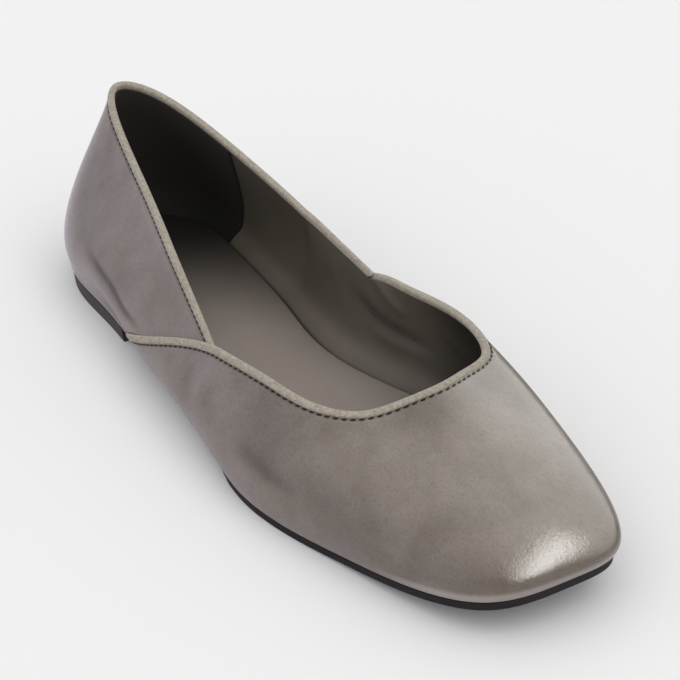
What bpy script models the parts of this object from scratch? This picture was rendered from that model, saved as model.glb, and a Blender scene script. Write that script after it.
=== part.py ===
# Square toe ballet flat, right shoe.
# A two panel leather upper, its vamp lapped over the quarter, with folded bindings
# along the collar, the throat and the vamp's edge, on a thin sole with a low heel.
# Sizes are millimetres in the shoe's own frame: heel back at x 0, toe towards +x,
# little toe side towards -y, floor at z 0. make_object turns them into metres.
import bpy
import bmesh
import numpy as np

MM = 0.001
OBJECT_NAME = "square_toe_ballet_flat"

# Sizes of the last
LENGTH = 250.0          # feather edge from the heel back to the toe front
BALL_WIDTH = 77.0       # feather edge across the ball of the foot
BACK_HEIGHT = 61.0      # floor to the middle of the collar binding at the heel back
HEEL_RISE = 8.0         # floor to the outsole's upper side at the heel
TOE_SPRING = 10.2       # lift of the sole at the toe front

# Sizes of the pieces
GAP = 0.3               # clearance between pieces that meet
SOLE_THICK = 2.7
INSOLE_THICK = 2.5
WALL = 1.8              # leather and lining together
LASTING_WIDTH = 4.2     # wall measured at the feather edge, with its turned-in margin
LASTING_SHARE = 0.25    # part of the wall's height over which that width fades
LAP_STEP = 1.0          # thickness of the vamp where it lies over the quarter
LAP_LINING = 0.3        # how far the lap swells the inside
LAP_FADE = 0.085        # share of the outline over which the lap fades out
BINDING_WIDTH = 2.4
BINDING_PROUD = 0.4     # how far a binding stands out from the leather
BINDING_DEPTH = 1.9     # how far it reaches below the skin where it wraps the wall
BINDING_ROUND = (0.8, 0.9)  # corner radius, as shares of half the width and half the depth
BREAST_AT = 62.0        # front face of the heel
HEEL_TAPER = 0.4        # inset of the heel's lower edge
WAIST_BEVEL = 4.0       # inset of the outsole's lower edge under the arch
EDGE_BEVEL = 0.3        # inset of the outsole's lower edge elsewhere
WAIST_RISE = 20.0       # length over which the waist's bevel grows from the heel
WAIST_FADE = 25.0       # length over which it fades into the tread

# Where the sole changes slope, as places along the foot
SEAT_END = 45.0
TREAD_START = 150.0
SPRING_START = 175.0

# One row for each section of the last, from the heel back round the little toe side.
# feather_x, top_x: percent of LENGTH.  feather_y, top_y: percent of BALL_WIDTH.
# top_z: percent of BACK_HEIGHT.  The wall leaves the feather edge at foot_tilt degrees
# with a pull of foot_pull millimetres, and comes down from the topline at top_tilt
# degrees with a pull of top_pull millimetres.
COLUMNS = ("name", "feather_x", "feather_y", "top_x", "top_y", "top_z",
           "foot_tilt", "foot_pull", "top_tilt", "top_pull")
SECTIONS = (
    ("heel_back",      0.3,  -0.8,  3.6,   0.6, 99.7, 73, 22.5, 69, 14.5),
    ("heel_outer",     6.4, -32.0,  9.3,  -9.1, 88.5, 68, 18.5, 70, 15.0),
    ("seat_outer",    19.6, -38.8, 22.3, -18.8, 74.1, 60, 19.0, 75, 13.0),
    ("arch_outer",    33.7, -42.6, 36.4, -30.8, 62.3, 41, 17.0, 74, 10.5),
    ("joint_outer",   46.8, -45.7, 49.9, -42.2, 49.8, 38, 17.0, 68,  9.5),
    ("ball_outer",    63.3, -56.0, 60.2, -39.6, 54.9, 71, 13.5, 52, 12.0),
    ("side_outer",    80.2, -46.6, 70.7, -30.3, 54.1, 76, 17.5, 32, 18.5),
    ("corner_outer",  97.8, -27.7, 75.2, -10.9, 60.0, 79, 16.0, 22, 26.0),
    ("toe_front",    100.4,   0.5, 77.0,   2.2, 66.7, 56, 15.2, 18, 30.0),
    ("corner_inner",  98.9,  23.6, 75.6,  16.9, 64.6, 50, 13.2, 18, 28.5),
    ("side_inner",    82.8,  37.8, 71.6,  35.6, 61.6, 73, 20.0, 25, 21.5),
    ("ball_inner",    68.4,  43.8, 61.6,  41.6, 58.7, 70, 16.5, 47, 14.5),
    ("joint_inner",   47.3,  25.8, 47.1,  40.1, 48.0, 52, 15.0, 68, 10.5),
    ("arch_inner",    34.8,  28.3, 34.8,  36.5, 60.7, 56, 15.0, 75, 10.5),
    ("seat_inner",    19.9,  32.7, 21.6,  29.9, 76.6, 70, 16.5, 77, 12.5),
    ("heel_inner",     8.4,  31.0,  7.8,  19.2, 92.3, 79, 18.0, 78, 15.0),
)
JOINT_OUTER = 4         # rows where the collar meets the vamp
JOINT_INNER = 12
VAMP_FOOT = 28.7        # percent of LENGTH where the vamp's edge meets the sole
VAMP_BOW = 0.1          # forward bow of the vamp's edge, as a share of its run
JOINT_SOFTNESS = 0.022  # share of the outline over which the skin rounds a joint
JOINT_ROOM = 1.8        # extra clearance where the vamp binding rounds a joint
JOINT_ROOM_RISE = (0.5, 0.9)  # heights on the wall between which that room opens
JOINT_ROOM_GAIN = 4.0   # how fast it opens along the rim, past a joint
JOINT_ROOM_HOLD = 0.8   # how far it stays open, in lengths of JOINT_SOFTNESS
WRAP_DELAY = 0.3        # how far past a joint the binding starts to wrap, in the same lengths
WRAP_RUN = 0.5          # how far it takes to wrap the wall, in the same lengths
SHOULDER = 6.0          # outward lean of the upper pull, millimetres

# Knots of the vamp binding: heights up its edges, then places round the throat
EDGE_KNOTS = (0.05, 0.17, 0.29, 0.41, 0.53, 0.65, 0.77)
THROAT_MARGIN = 0.03
THROAT_KNOTS = 11

# Mesh density
QUARTER_COLUMNS = 58
VAMP_COLUMNS = 58
WALL_ROWS = 10
SOLE_STATIONS = 40
HEEL_STATIONS = 18
BINDING_CORNER_STEPS = 2
THROAT_STEPS = 84
COLLAR_STEPS = 60
OUTLINE_SAMPLES = 720
RUN_SAMPLES = 400
FOOT_SAMPLES = 200
SOLE_SHARES = (0.0, 0.3, 0.7, 1.0)  # points across a sole piece
JOINT_SAMPLES = 9
JOINT_FALLOFF = 0.9     # drop of the outermost weight where a joint is rounded
PLACE_STEP = 0.001      # share of the outline for measuring slopes
MERGE = 0.000005        # metres; joins the points of a rounded end
SHARP_ANGLE = 0.8       # radians; edges sharper than this stay crisp

# Finish of each piece: colour, roughness
FINISHES = {
    "upper": ((0.21, 0.185, 0.172), 0.25),
    "vamp_binding": ((0.42, 0.385, 0.335), 0.75),
    "collar_binding": ((0.42, 0.385, 0.335), 0.75),
    "insole": ((0.11, 0.096, 0.085), 0.6),
    "outsole": ((0.028, 0.026, 0.027), 0.55),
    "heel": ((0.03, 0.028, 0.029), 0.55),
}


# Curves through the table

def column_values(names, scales):
    rows = [[row[COLUMNS.index(name)] for name in names] for row in SECTIONS]
    return np.array(rows, dtype=float) * np.array(scales)


def curve_slopes(knots, values, closed):
    # Slopes of the smooth cubic through the knots: closed, or with straight ends
    count = len(knots)
    system = np.zeros((count, count))
    right = np.zeros(values.shape)
    steps = np.diff(knots)
    rises = np.diff(values, axis=0) / steps[:, None]
    for i in range(1, count - 1):
        system[i, i - 1] = steps[i]
        system[i, i] = 2.0 * (steps[i - 1] + steps[i])
        system[i, i + 1] = steps[i - 1]
        right[i] = 3.0 * (steps[i] * rises[i - 1] + steps[i - 1] * rises[i])
    if closed:
        system[0, 0] = 2.0 * (steps[-1] + steps[0])
        system[0, 1] = steps[-1]
        system[0, -2] = steps[0]
        right[0] = 3.0 * (steps[0] * rises[-1] + steps[-1] * rises[0])
        system[-1, 0] = 1.0
        system[-1, -1] = -1.0
    else:
        system[0, :2] = (2.0, 1.0)
        right[0] = 3.0 * rises[0]
        system[-1, -2:] = (1.0, 2.0)
        right[-1] = 3.0 * rises[-1]
    return np.linalg.solve(system, right)


def follow_curve(knots, values, slopes, at):
    index = np.clip(np.searchsorted(knots, at, side="right") - 1, 0, len(knots) - 2)
    step = (knots[index + 1] - knots[index])[..., None]
    t = (at - knots[index])[..., None] / step
    start = (1.0 + 2.0 * t) * (1.0 - t) ** 2 * values[index]
    end = t * t * (3.0 - 2.0 * t) * values[index + 1]
    leave = t * (1.0 - t) ** 2 * step * slopes[index]
    arrive = t * t * (t - 1.0) * step * slopes[index + 1]
    return start + end + leave + arrive


def closed_row(values):
    return np.vstack([values, values[:1]])


def section_places():
    # Places of the sections along the outline, from 0 to 1, half by chord, half even
    points = closed_row(column_values(("feather_x", "feather_y"), PLAN_SCALE))
    chords = np.linalg.norm(np.diff(points, axis=0), axis=1)
    spans = 0.5 * chords + 0.5 * chords.mean()
    return np.concatenate([[0.0], np.cumsum(spans) / spans.sum()])


PLAN_SCALE = (LENGTH / 100.0, BALL_WIDTH / 100.0)
TOP_SCALE = PLAN_SCALE + (BACK_HEIGHT / 100.0,)
PLACES = section_places()
FEATHER = closed_row(column_values(("feather_x", "feather_y"), PLAN_SCALE))
TOPLINE = closed_row(column_values(("top_x", "top_y", "top_z"), TOP_SCALE))
PULLS = closed_row(column_values(("foot_tilt", "foot_pull", "top_tilt", "top_pull"), (1, 1, 1, 1)))
FEATHER_SLOPES = curve_slopes(PLACES, FEATHER, True)
PULL_SLOPES = curve_slopes(PLACES, PULLS, True)
OUTER = PLACES[JOINT_OUTER]
INNER = PLACES[JOINT_INNER]
THROAT_PLACES = PLACES[JOINT_OUTER:JOINT_INNER + 1]
THROAT = TOPLINE[JOINT_OUTER:JOINT_INNER + 1]
THROAT_SLOPES = curve_slopes(THROAT_PLACES, THROAT, False)
COLLAR_PLACES = np.concatenate([PLACES[JOINT_INNER:-1] - 1.0, PLACES[:JOINT_OUTER + 1]])
COLLAR = np.vstack([TOPLINE[JOINT_INNER:-1], TOPLINE[:JOINT_OUTER + 1]])
COLLAR_SLOPES = curve_slopes(COLLAR_PLACES, COLLAR, False)


# Heights of the sole

def smooth_step(t):
    t = np.clip(t, 0.0, 1.0)
    return t * t * (3.0 - 2.0 * t)


def sole_top(x):
    seat_drop = (HEEL_RISE - SOLE_THICK) * smooth_step((x - SEAT_END) / (TREAD_START - SEAT_END))
    lift = np.clip((x - SPRING_START) / (LENGTH - SPRING_START), 0.0, None)
    return HEEL_RISE - seat_drop + TOE_SPRING * lift ** 2


def sole_bottom(x):
    return sole_top(x) - SOLE_THICK


# Skin of the upper, p round the outline and s from the feather edge to the topline

def unit(vectors):
    return vectors / np.linalg.norm(vectors, axis=-1, keepdims=True)


def feather(p):
    return follow_curve(PLACES, FEATHER, FEATHER_SLOPES, p % 1.0)


def outward(p):
    along = unit(feather(p + PLACE_STEP) - feather(p - PLACE_STEP))
    return np.stack([along[..., 1], -along[..., 0]], axis=-1)


def topline(p):
    # The collar and the throat are two curves that meet at the joints
    p = p % 1.0
    on_throat = (p >= OUTER) & (p <= INNER)
    throat = follow_curve(THROAT_PLACES, THROAT, THROAT_SLOPES, np.clip(p, OUTER, INNER))
    q = np.where(p > 0.5 * (OUTER + INNER), p - 1.0, p)
    collar = follow_curve(COLLAR_PLACES, COLLAR, COLLAR_SLOPES, np.clip(q, INNER - 1.0, OUTER))
    return np.where(on_throat[..., None], throat, collar)


def soft_topline(p):
    # The topline with its joints rounded, which carries the skin smoothly past them
    p = p % 1.0
    distance = np.minimum(np.abs(p - OUTER), np.abs(p - INNER))
    reach = np.clip(JOINT_SOFTNESS - distance, 0.0, None)
    spread = np.linspace(-1.0, 1.0, JOINT_SAMPLES)
    weights = 1.0 - np.abs(spread) * JOINT_FALLOFF
    total = sum(w * topline(p + reach * d) for d, w in zip(spread, weights))
    return total / weights.sum()


def lift_to_space(plan, height):
    return np.concatenate([plan, height[..., None]], axis=-1)


def skin(p, s):
    plan = feather(p)
    foot = lift_to_space(plan, sole_top(plan[..., 0]) + GAP)
    top = soft_topline(p)
    out = outward(p)
    lean = unit(plan - top[..., :2] + SHOULDER * out)
    pulls = follow_curve(PLACES, PULLS, PULL_SLOPES, p % 1.0)
    foot_tilt = np.radians(pulls[..., 0])
    top_tilt = np.radians(pulls[..., 2])
    foot_way = lift_to_space(out * np.cos(foot_tilt)[..., None], np.sin(foot_tilt))
    top_way = lift_to_space(lean * np.cos(top_tilt)[..., None], -np.sin(top_tilt))
    low = foot + foot_way * pulls[..., 1:2]
    high = top + top_way * pulls[..., 3:4]
    t = s[..., None]
    return ((1 - t) ** 3 * foot + 3 * t * (1 - t) ** 2 * low
            + 3 * t * t * (1 - t) * high + t ** 3 * top)


def skin_slopes(p, s):
    step = PLACE_STEP
    along = (skin(p + step, s) - skin(p - step, s)) / (2 * step)
    up = (skin(p, s + step) - skin(p, s - step)) / (2 * step)
    return along, up


def skin_normal(p, s):
    along, up = skin_slopes(p, s)
    return unit(np.cross(along, up))


def rim_share(p, depth):
    # The s that lies a given depth below the true topline, measured square to it
    up = skin_slopes(p, np.ones_like(p))[1]
    rim = unit(soft_topline(p + PLACE_STEP) - soft_topline(p - PLACE_STEP))
    square = up - (up * rim).sum(axis=-1, keepdims=True) * rim
    notch = soft_topline(p)[..., 2] - topline(p)[..., 2]
    return 1.0 - notch / up[..., 2] - depth / np.linalg.norm(square, axis=-1)


# The vamp's edge crosses the skin from its foot to the joint, bowed a little forward

def foot_place(low, high):
    tries = np.linspace(low, high, FOOT_SAMPLES)
    across = np.abs(feather(tries)[:, 0] - VAMP_FOOT * LENGTH / 100.0)
    return tries[np.argmin(across)]


OUTER_FOOT = foot_place(PLACES[JOINT_OUTER - 2], PLACES[JOINT_OUTER])
INNER_FOOT = foot_place(PLACES[JOINT_INNER], PLACES[JOINT_INNER + 2])


def edge_place(joint, s, shift):
    # Place of the edge at height s, shifted across it by some millimetres towards the toe
    foot = OUTER_FOOT if joint == OUTER else INNER_FOOT
    forward = 1.0 if joint == OUTER else -1.0
    p = foot + (joint - foot) * (s + VAMP_BOW * s * (1.0 - s))
    along, up = skin_slopes(p, np.clip(s, 0.0, 1.0))
    rate = (joint - foot) * (1.0 + VAMP_BOW * (1.0 - 2.0 * s))
    edge = unit(up + along * rate[..., None])
    across = along - (along * edge).sum(axis=-1, keepdims=True) * edge
    return p + forward * shift / np.linalg.norm(across, axis=-1)


# Upper

STEP_AT = 0.5 * BINDING_WIDTH + GAP   # the lap's step, measured from the binding's middle


def joint_ease(p):
    # Extra room just past a joint, where the vamp binding rounds the corner
    past = np.minimum(p - OUTER, INNER - p) / JOINT_SOFTNESS
    opening = smooth_step(JOINT_ROOM_GAIN * past + 1.0)
    return JOINT_ROOM * opening * (1.0 - smooth_step(past - JOINT_ROOM_HOLD))


def warped_place(u, s):
    # Slants the grid near the joints, so that one of its lines is the step of the lap
    p = u.copy()
    anchors = ((PLACES[JOINT_OUTER - 3], OUTER, PLACES[JOINT_OUTER + 2]),
               (PLACES[JOINT_INNER - 2], INNER, PLACES[JOINT_INNER + 3]))
    shut, wide = JOINT_ROOM_RISE
    room = JOINT_ROOM * smooth_step((s - shut) / (wide - shut))
    for low, joint, high in anchors:
        step = edge_place(joint, s, STEP_AT + room)
        near = (u >= low) & (u <= joint)
        p = np.where(near, low + (u - low) * (step - low) / (joint - low), p)
        near = (u > joint) & (u <= high)
        p = np.where(near, high - (high - u) * (high - step) / (high - joint), p)
    return p


def upper_columns():
    # Columns of the quarter round the heel, then of the vamp round the toe
    quarter = np.linspace(INNER, 1.0 + OUTER, QUARTER_COLUMNS) % 1.0
    vamp = np.linspace(OUTER, INNER, VAMP_COLUMNS)
    return np.concatenate([quarter, vamp])


def upper_rings():
    # Each ring goes up the outside of the wall and down its inside
    u = upper_columns()
    is_quarter = np.arange(len(u)) < QUARTER_COLUMNS
    tops = warped_place(u, np.ones_like(u))
    ends = rim_share(tops, STEP_AT + joint_ease(tops))
    share = np.linspace(0.0, 1.0, WALL_ROWS)
    s = ends[:, None] * share[None, :]
    p = warped_place(np.repeat(u[:, None], WALL_ROWS, axis=1), s)
    distance = np.minimum(np.abs(u - OUTER), np.abs(u - INNER))
    lap = 1.0 - smooth_step(distance / LAP_FADE)
    points = skin(p, s)
    normals = skin_normal(p, s)
    outside = points - normals * (LAP_STEP * lap * is_quarter)[:, None, None]
    turn = np.clip(1.0 - share / LASTING_SHARE, 0.0, 1.0) ** 2
    turn = turn[None, :, None]
    flat = lift_to_space(outward(p), np.zeros_like(s))
    inward = -unit(normals * (1.0 - turn) + flat * turn)
    thickness = (WALL + LAP_LINING * lap)[:, None, None] * (1.0 - turn) + LASTING_WIDTH * turn
    inside = points + inward * thickness
    return np.concatenate([outside, inside[:, ::-1]], axis=1)


# Bindings

def binding_section(inner, outer):
    # A rounded oblong, across the band and through it, for each step of a path
    half = 0.5 * BINDING_WIDTH
    middle = 0.5 * (inner + outer)
    deep = 0.5 * (outer - inner)
    radius = np.minimum(BINDING_ROUND[0] * half, BINDING_ROUND[1] * deep)
    across = []
    through = []
    for corner in range(4):
        side = 1.0 if corner in (0, 3) else -1.0
        face = 1.0 if corner in (0, 1) else -1.0
        for step in range(BINDING_CORNER_STEPS + 1):
            angle = 0.5 * np.pi * (corner + step / BINDING_CORNER_STEPS)
            across.append(side * (half - radius) + radius * np.cos(angle))
            through.append(middle + face * (deep - radius) + radius * np.sin(angle))
    return np.stack(across, axis=1), np.stack(through, axis=1)


def chord_sums(points):
    chords = np.linalg.norm(np.diff(points, axis=0), axis=1)
    return np.concatenate([[0.0], np.cumsum(chords)])


def read_at(lengths, values, at):
    return np.stack([np.interp(at, lengths, column) for column in values.T], axis=-1)


def sweep(path, p, s, inner, outer, count, trims=None):
    # Carries the section along a path over the skin; trims cut its two ends aslant
    lengths = chord_sums(path)
    along = unit(np.gradient(path, axis=0))
    beside = unit(np.cross(skin_normal(p, s), along))
    through = np.cross(along, beside)
    width, depth = binding_section(inner, outer)
    start = np.zeros(width.shape[1])
    end = np.full(width.shape[1], lengths[-1])
    if trims is not None:
        start = start + (STEP_AT - width[0] * np.cos(trims[0])) / np.sin(trims[0])
        end = end - (STEP_AT - width[-1] * np.cos(trims[1])) / np.sin(trims[1])
    at = start + (end - start) * np.linspace(0.0, 1.0, count)[:, None]
    columns = np.arange(width.shape[1])
    across = np.stack([np.interp(at[:, k], lengths, width[:, k]) for k in columns], axis=1)
    deep = np.stack([np.interp(at[:, k], lengths, depth[:, k]) for k in columns], axis=1)
    return (read_at(lengths, path, at) + across[..., None] * read_at(lengths, beside, at)
            + deep[..., None] * read_at(lengths, through, at))


def smooth_run(points, knots_p, knots_s):
    # A smooth path through a few points, with their places on the skin
    knots = chord_sums(points)
    values = np.column_stack([points, knots_p, knots_s])
    slopes = curve_slopes(knots, values, False)
    run = follow_curve(knots, values, slopes, np.linspace(0.0, knots[-1], RUN_SAMPLES))
    return run[:, :3], run[:, 3], run[:, 4]


def vamp_binding_rings():
    # From the sole up the outer edge, round the throat and down the inner edge
    climb = np.array(EDGE_KNOTS)
    fall = climb[::-1]
    outer_edge = edge_place(OUTER, climb, 0.0)
    inner_edge = edge_place(INNER, fall, 0.0)
    between = np.linspace(OUTER + THROAT_MARGIN, INNER - THROAT_MARGIN, THROAT_KNOTS)
    throat = np.concatenate([[OUTER], between, [INNER]])
    points = np.vstack([skin(outer_edge, climb), topline(throat), skin(inner_edge, fall)])
    knots_p = np.concatenate([outer_edge, throat, inner_edge])
    knots_s = np.concatenate([climb, rim_share(throat, 0.0), fall])
    path, p, s = smooth_run(points, knots_p, knots_s)
    # On the vamp's edge the band lies on the quarter; round the throat it wraps the wall
    from_joint = np.minimum(p - OUTER, INNER - p)
    wrap = smooth_step((from_joint / JOINT_SOFTNESS - WRAP_DELAY) / WRAP_RUN)
    inner = -(LAP_STEP - GAP) * (1.0 - wrap) - BINDING_DEPTH * wrap
    return sweep(path, p, s, inner, np.full_like(p, BINDING_PROUD), THROAT_STEPS)


def joint_angle(joint, away):
    # Angle between the collar and the vamp's edge where they meet
    ends = np.array([joint, joint + away])
    collar = topline(ends)
    heights = np.array([1.0, EDGE_KNOTS[-1]])
    edge = skin(edge_place(joint, heights, 0.0), heights)
    return np.arccos((unit(collar[1] - collar[0]) * unit(edge[1] - edge[0])).sum())


def collar_binding_rings():
    # From the inner joint round the heel to the outer joint
    p = np.linspace(INNER, 1.0 + OUTER, RUN_SAMPLES)
    distance = np.minimum(p - INNER, 1.0 + OUTER - p)
    lap = 1.0 - smooth_step(distance / LAP_FADE)
    inner = -(BINDING_DEPTH + LAP_LINING * lap)
    outer = BINDING_PROUD - LAP_STEP * lap
    away = 0.5 * JOINT_SOFTNESS
    trims = (joint_angle(INNER, away), joint_angle(OUTER, -away))
    return sweep(topline(p), p, rim_share(p, 0.0), inner, outer, COLLAR_STEPS, trims)


# Sole pieces

def outline(inset):
    p = np.linspace(0.0, 1.0, OUTLINE_SAMPLES, endpoint=False)
    x = feather(p)[:, 0]
    return feather(p) - outward(p) * inset(x)[:, None]


def half_lines(inset, spread):
    # Both sides of an inset outline at shares of its length
    points = outline(inset)
    points = np.roll(points, -int(np.argmin(points[:, 0])), axis=0)
    tip = int(np.argmax(points[:, 0]))
    outer = points[:tip + 1]
    inner = np.vstack([points[tip:], points[:1]])[::-1]
    x = outer[0, 0] + (outer[-1, 0] - outer[0, 0]) * spread
    outer_y = np.interp(x, np.maximum.accumulate(outer[:, 0]), outer[:, 1])
    inner_y = np.interp(x, np.maximum.accumulate(inner[:, 0]), inner[:, 1])
    return x, outer_y, inner_y


def cross_points(x, outer_y, inner_y, z):
    shares = np.array(SOLE_SHARES)
    y = outer_y[:, None] + (inner_y - outer_y)[:, None] * shares
    even = np.ones_like(shares)
    return np.stack([x[:, None] * even, y, z[:, None] * even], axis=-1)


def slab_rings(upper_inset, lower_inset, upper_z, lower_z, spread):
    # Rings across a sole piece: its upper side one way, its lower side back
    x, outer_y, inner_y = half_lines(upper_inset, spread)
    above = cross_points(x, outer_y, inner_y, upper_z(x))
    x, outer_y, inner_y = half_lines(lower_inset, spread)
    below = cross_points(x, outer_y, inner_y, lower_z(x))
    return np.concatenate([above, below[:, ::-1]], axis=1)


def round_ends(count):
    return 0.5 - 0.5 * np.cos(np.linspace(0.0, np.pi, count))


def even_inset(size):
    return lambda x: np.full_like(x, size)


def outsole_rings():
    def lower_inset(x):
        waist = smooth_step((x - BREAST_AT) / WAIST_RISE) * smooth_step((TREAD_START - x) / WAIST_FADE)
        return EDGE_BEVEL + (WAIST_BEVEL - EDGE_BEVEL) * waist
    return slab_rings(even_inset(0.0), lower_inset, sole_top, sole_bottom, round_ends(SOLE_STATIONS))


def insole_rings():
    return slab_rings(even_inset(LASTING_WIDTH + GAP), even_inset(LASTING_WIDTH + GAP),
                      lambda x: sole_top(x) + GAP + INSOLE_THICK, lambda x: sole_top(x) + GAP,
                      round_ends(SOLE_STATIONS))


def heel_rings():
    share = BREAST_AT / LENGTH
    spread = share * (1.0 - np.cos(np.linspace(0.0, 0.5 * np.pi, HEEL_STATIONS)))
    return slab_rings(even_inset(EDGE_BEVEL), even_inset(EDGE_BEVEL + HEEL_TAPER),
                      lambda x: sole_bottom(x) - GAP, np.zeros_like, spread)


# Objects

def clear_scene():
    for old in list(bpy.data.objects):
        bpy.data.objects.remove(old, do_unlink=True)


def make_material(name):
    colour, roughness = FINISHES[name]
    material = bpy.data.materials.new(name)
    material.use_nodes = True
    shader = material.node_tree.nodes["Principled BSDF"]
    shader.inputs["Base Color"].default_value = colour + (1.0,)
    shader.inputs["Roughness"].default_value = roughness
    shader.inputs["Metallic"].default_value = 0.0
    return material


def make_object(name, rings, collection, closed=False, caps=(False, False)):
    # Lofts quads between neighbouring rings, and closes the ends that ask for a cap
    mesh = bpy.data.meshes.new(name)
    loft = bmesh.new()
    rows = [[loft.verts.new(point) for point in ring * MM] for ring in rings]
    size = len(rows[0])
    pairs = list(zip(rows, rows[1:]))
    if closed:
        pairs.append((rows[-1], rows[0]))
    for near, far in pairs:
        for i in range(size):
            j = (i + 1) % size
            loft.faces.new((near[i], near[j], far[j], far[i]))
    for row, wanted in zip((rows[0], rows[-1]), caps):
        if wanted:
            loft.faces.new(row)
    bmesh.ops.remove_doubles(loft, verts=loft.verts, dist=MERGE)
    bmesh.ops.recalc_face_normals(loft, faces=loft.faces)
    loft.to_mesh(mesh)
    loft.free()
    mesh.shade_smooth()
    mesh.set_sharp_from_angle(angle=SHARP_ANGLE)
    mesh.materials.append(make_material(name))
    piece = bpy.data.objects.new(name, mesh)
    collection.objects.link(piece)
    return piece


def stand_on_origin(pieces, collection):
    # One parent puts the middle of the shoe's plan over the origin
    corners = np.array([v.co for piece in pieces for v in piece.data.vertices])
    middle = 0.5 * (corners.min(axis=0) + corners.max(axis=0))
    parent = bpy.data.objects.new("shoe", None)
    parent.location = (-middle[0], -middle[1], -corners[:, 2].min())
    collection.objects.link(parent)
    for piece in pieces:
        piece.parent = parent


def build():
    clear_scene()
    collection = bpy.data.collections.new(OBJECT_NAME)
    bpy.context.scene.collection.children.link(collection)
    both = (True, True)
    pieces = [
        make_object("upper", upper_rings(), collection, closed=True),
        make_object("vamp_binding", vamp_binding_rings(), collection, caps=both),
        make_object("collar_binding", collar_binding_rings(), collection, caps=both),
        make_object("insole", insole_rings(), collection),
        make_object("outsole", outsole_rings(), collection),
        make_object("heel", heel_rings(), collection, caps=(False, True)),
    ]
    stand_on_origin(pieces, collection)


build()
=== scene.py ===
import math

import bmesh
import bpy
import numpy as np
from mathutils import Matrix, Vector


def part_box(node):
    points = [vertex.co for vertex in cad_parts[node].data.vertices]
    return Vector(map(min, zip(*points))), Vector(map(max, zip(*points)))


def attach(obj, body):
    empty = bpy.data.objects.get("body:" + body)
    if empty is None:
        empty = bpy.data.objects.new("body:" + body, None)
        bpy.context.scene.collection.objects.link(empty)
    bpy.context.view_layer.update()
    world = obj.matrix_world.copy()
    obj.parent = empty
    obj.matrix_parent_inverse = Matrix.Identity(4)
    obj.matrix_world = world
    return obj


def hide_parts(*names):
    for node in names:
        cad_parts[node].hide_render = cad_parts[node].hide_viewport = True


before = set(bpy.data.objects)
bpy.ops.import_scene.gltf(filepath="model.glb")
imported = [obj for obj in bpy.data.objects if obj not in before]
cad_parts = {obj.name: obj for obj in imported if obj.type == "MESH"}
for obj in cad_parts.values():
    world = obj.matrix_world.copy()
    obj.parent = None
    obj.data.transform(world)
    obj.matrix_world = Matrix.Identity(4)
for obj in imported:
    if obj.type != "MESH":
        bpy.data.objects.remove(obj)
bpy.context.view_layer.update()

mm = 0.001

# Sizes are millimetres in the shoe's own frame: heel back at x 0, toe towards +x,
# little toe side towards -y, floor at z 0. The last is the one that the solids have.
last = {
    "length": 250.0,          # feather edge, heel back to toe front
    "ballWidth": 77.0,
    "backHeight": 61.0,       # floor to the middle of the collar binding at the heel back
    "heelRise": 8.0,
    "toeSpring": 10.2,
    "soleThick": 2.7,
    "gap": 0.3,               # clearance between pieces that meet
    "seatEnd": 45.0,          # where the sole changes slope, along the foot
    "treadStart": 150.0,
    "springStart": 175.0,
    "shoulder": 6.0,          # outward lean of the upper pull
    "jointOuter": 4,          # section rows where the collar meets the vamp
    "jointInner": 12,
    "jointSoftness": 0.022,   # share of the outline over which the skin rounds a joint
    "jointSamples": 9,
    "jointFalloff": 0.9,      # how far the outermost sample's weight has fallen
    "vampFoot": 28.7,         # percent of the length where the vamp's edge meets the sole
    "vampBow": 0.1,           # forward bow of the vamp's edge, as a share of its run
    "slopeStep": 0.001,       # step of the skin's difference quotients
    "footTries": 200,         # places tried for the foot of the vamp's edge
    "outlineSamples": 720,
}
sectionColumns = ("featherX", "featherY", "topX", "topY", "topZ",
                  "footTilt", "footPull", "topTilt", "topPull")
# Percent of length, of ball width and of back height, then degrees and millimetres
lastSections = (
    (0.3, -0.8, 3.6, 0.6, 99.7, 73, 22.5, 69, 14.5),        # heel back
    (6.4, -32.0, 9.3, -9.1, 88.5, 68, 18.5, 70, 15.0),
    (19.6, -38.8, 22.3, -18.8, 74.1, 60, 19.0, 75, 13.0),
    (33.7, -42.6, 36.4, -30.8, 62.3, 41, 17.0, 74, 10.5),   # arch, little toe side
    (46.8, -45.7, 49.9, -42.2, 49.8, 38, 17.0, 68, 9.5),
    (63.3, -56.0, 60.2, -39.6, 54.9, 71, 13.5, 52, 12.0),
    (80.2, -46.6, 70.7, -30.3, 54.1, 76, 17.5, 32, 18.5),
    (97.8, -27.7, 75.2, -10.9, 60.0, 79, 16.0, 22, 26.0),
    (100.4, 0.5, 77.0, 2.2, 66.7, 56, 15.2, 18, 30.0),      # toe front
    (98.9, 23.6, 75.6, 16.9, 64.6, 50, 13.2, 18, 28.5),
    (82.8, 37.8, 71.6, 35.6, 61.6, 73, 20.0, 25, 21.5),
    (68.4, 43.8, 61.6, 41.6, 58.7, 70, 16.5, 47, 14.5),
    (47.3, 25.8, 47.1, 40.1, 48.0, 52, 15.0, 68, 10.5),
    (34.8, 28.3, 34.8, 36.5, 60.7, 56, 15.0, 75, 10.5),     # arch, big toe side
    (19.9, 32.7, 21.6, 29.9, 76.6, 70, 16.5, 77, 12.5),
    (8.4, 31.0, 7.8, 19.2, 92.3, 79, 18.0, 78, 15.0),
)


# Curves through the section table

# Some columns of the table, scaled, with the first row again at the end to close the outline
def columnValues(names, scales):
    picked = [sectionColumns.index(name) for name in names]
    values = np.array(lastSections, dtype=float)[:, picked] * np.array(scales)
    return np.vstack([values, values[:1]])


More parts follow.
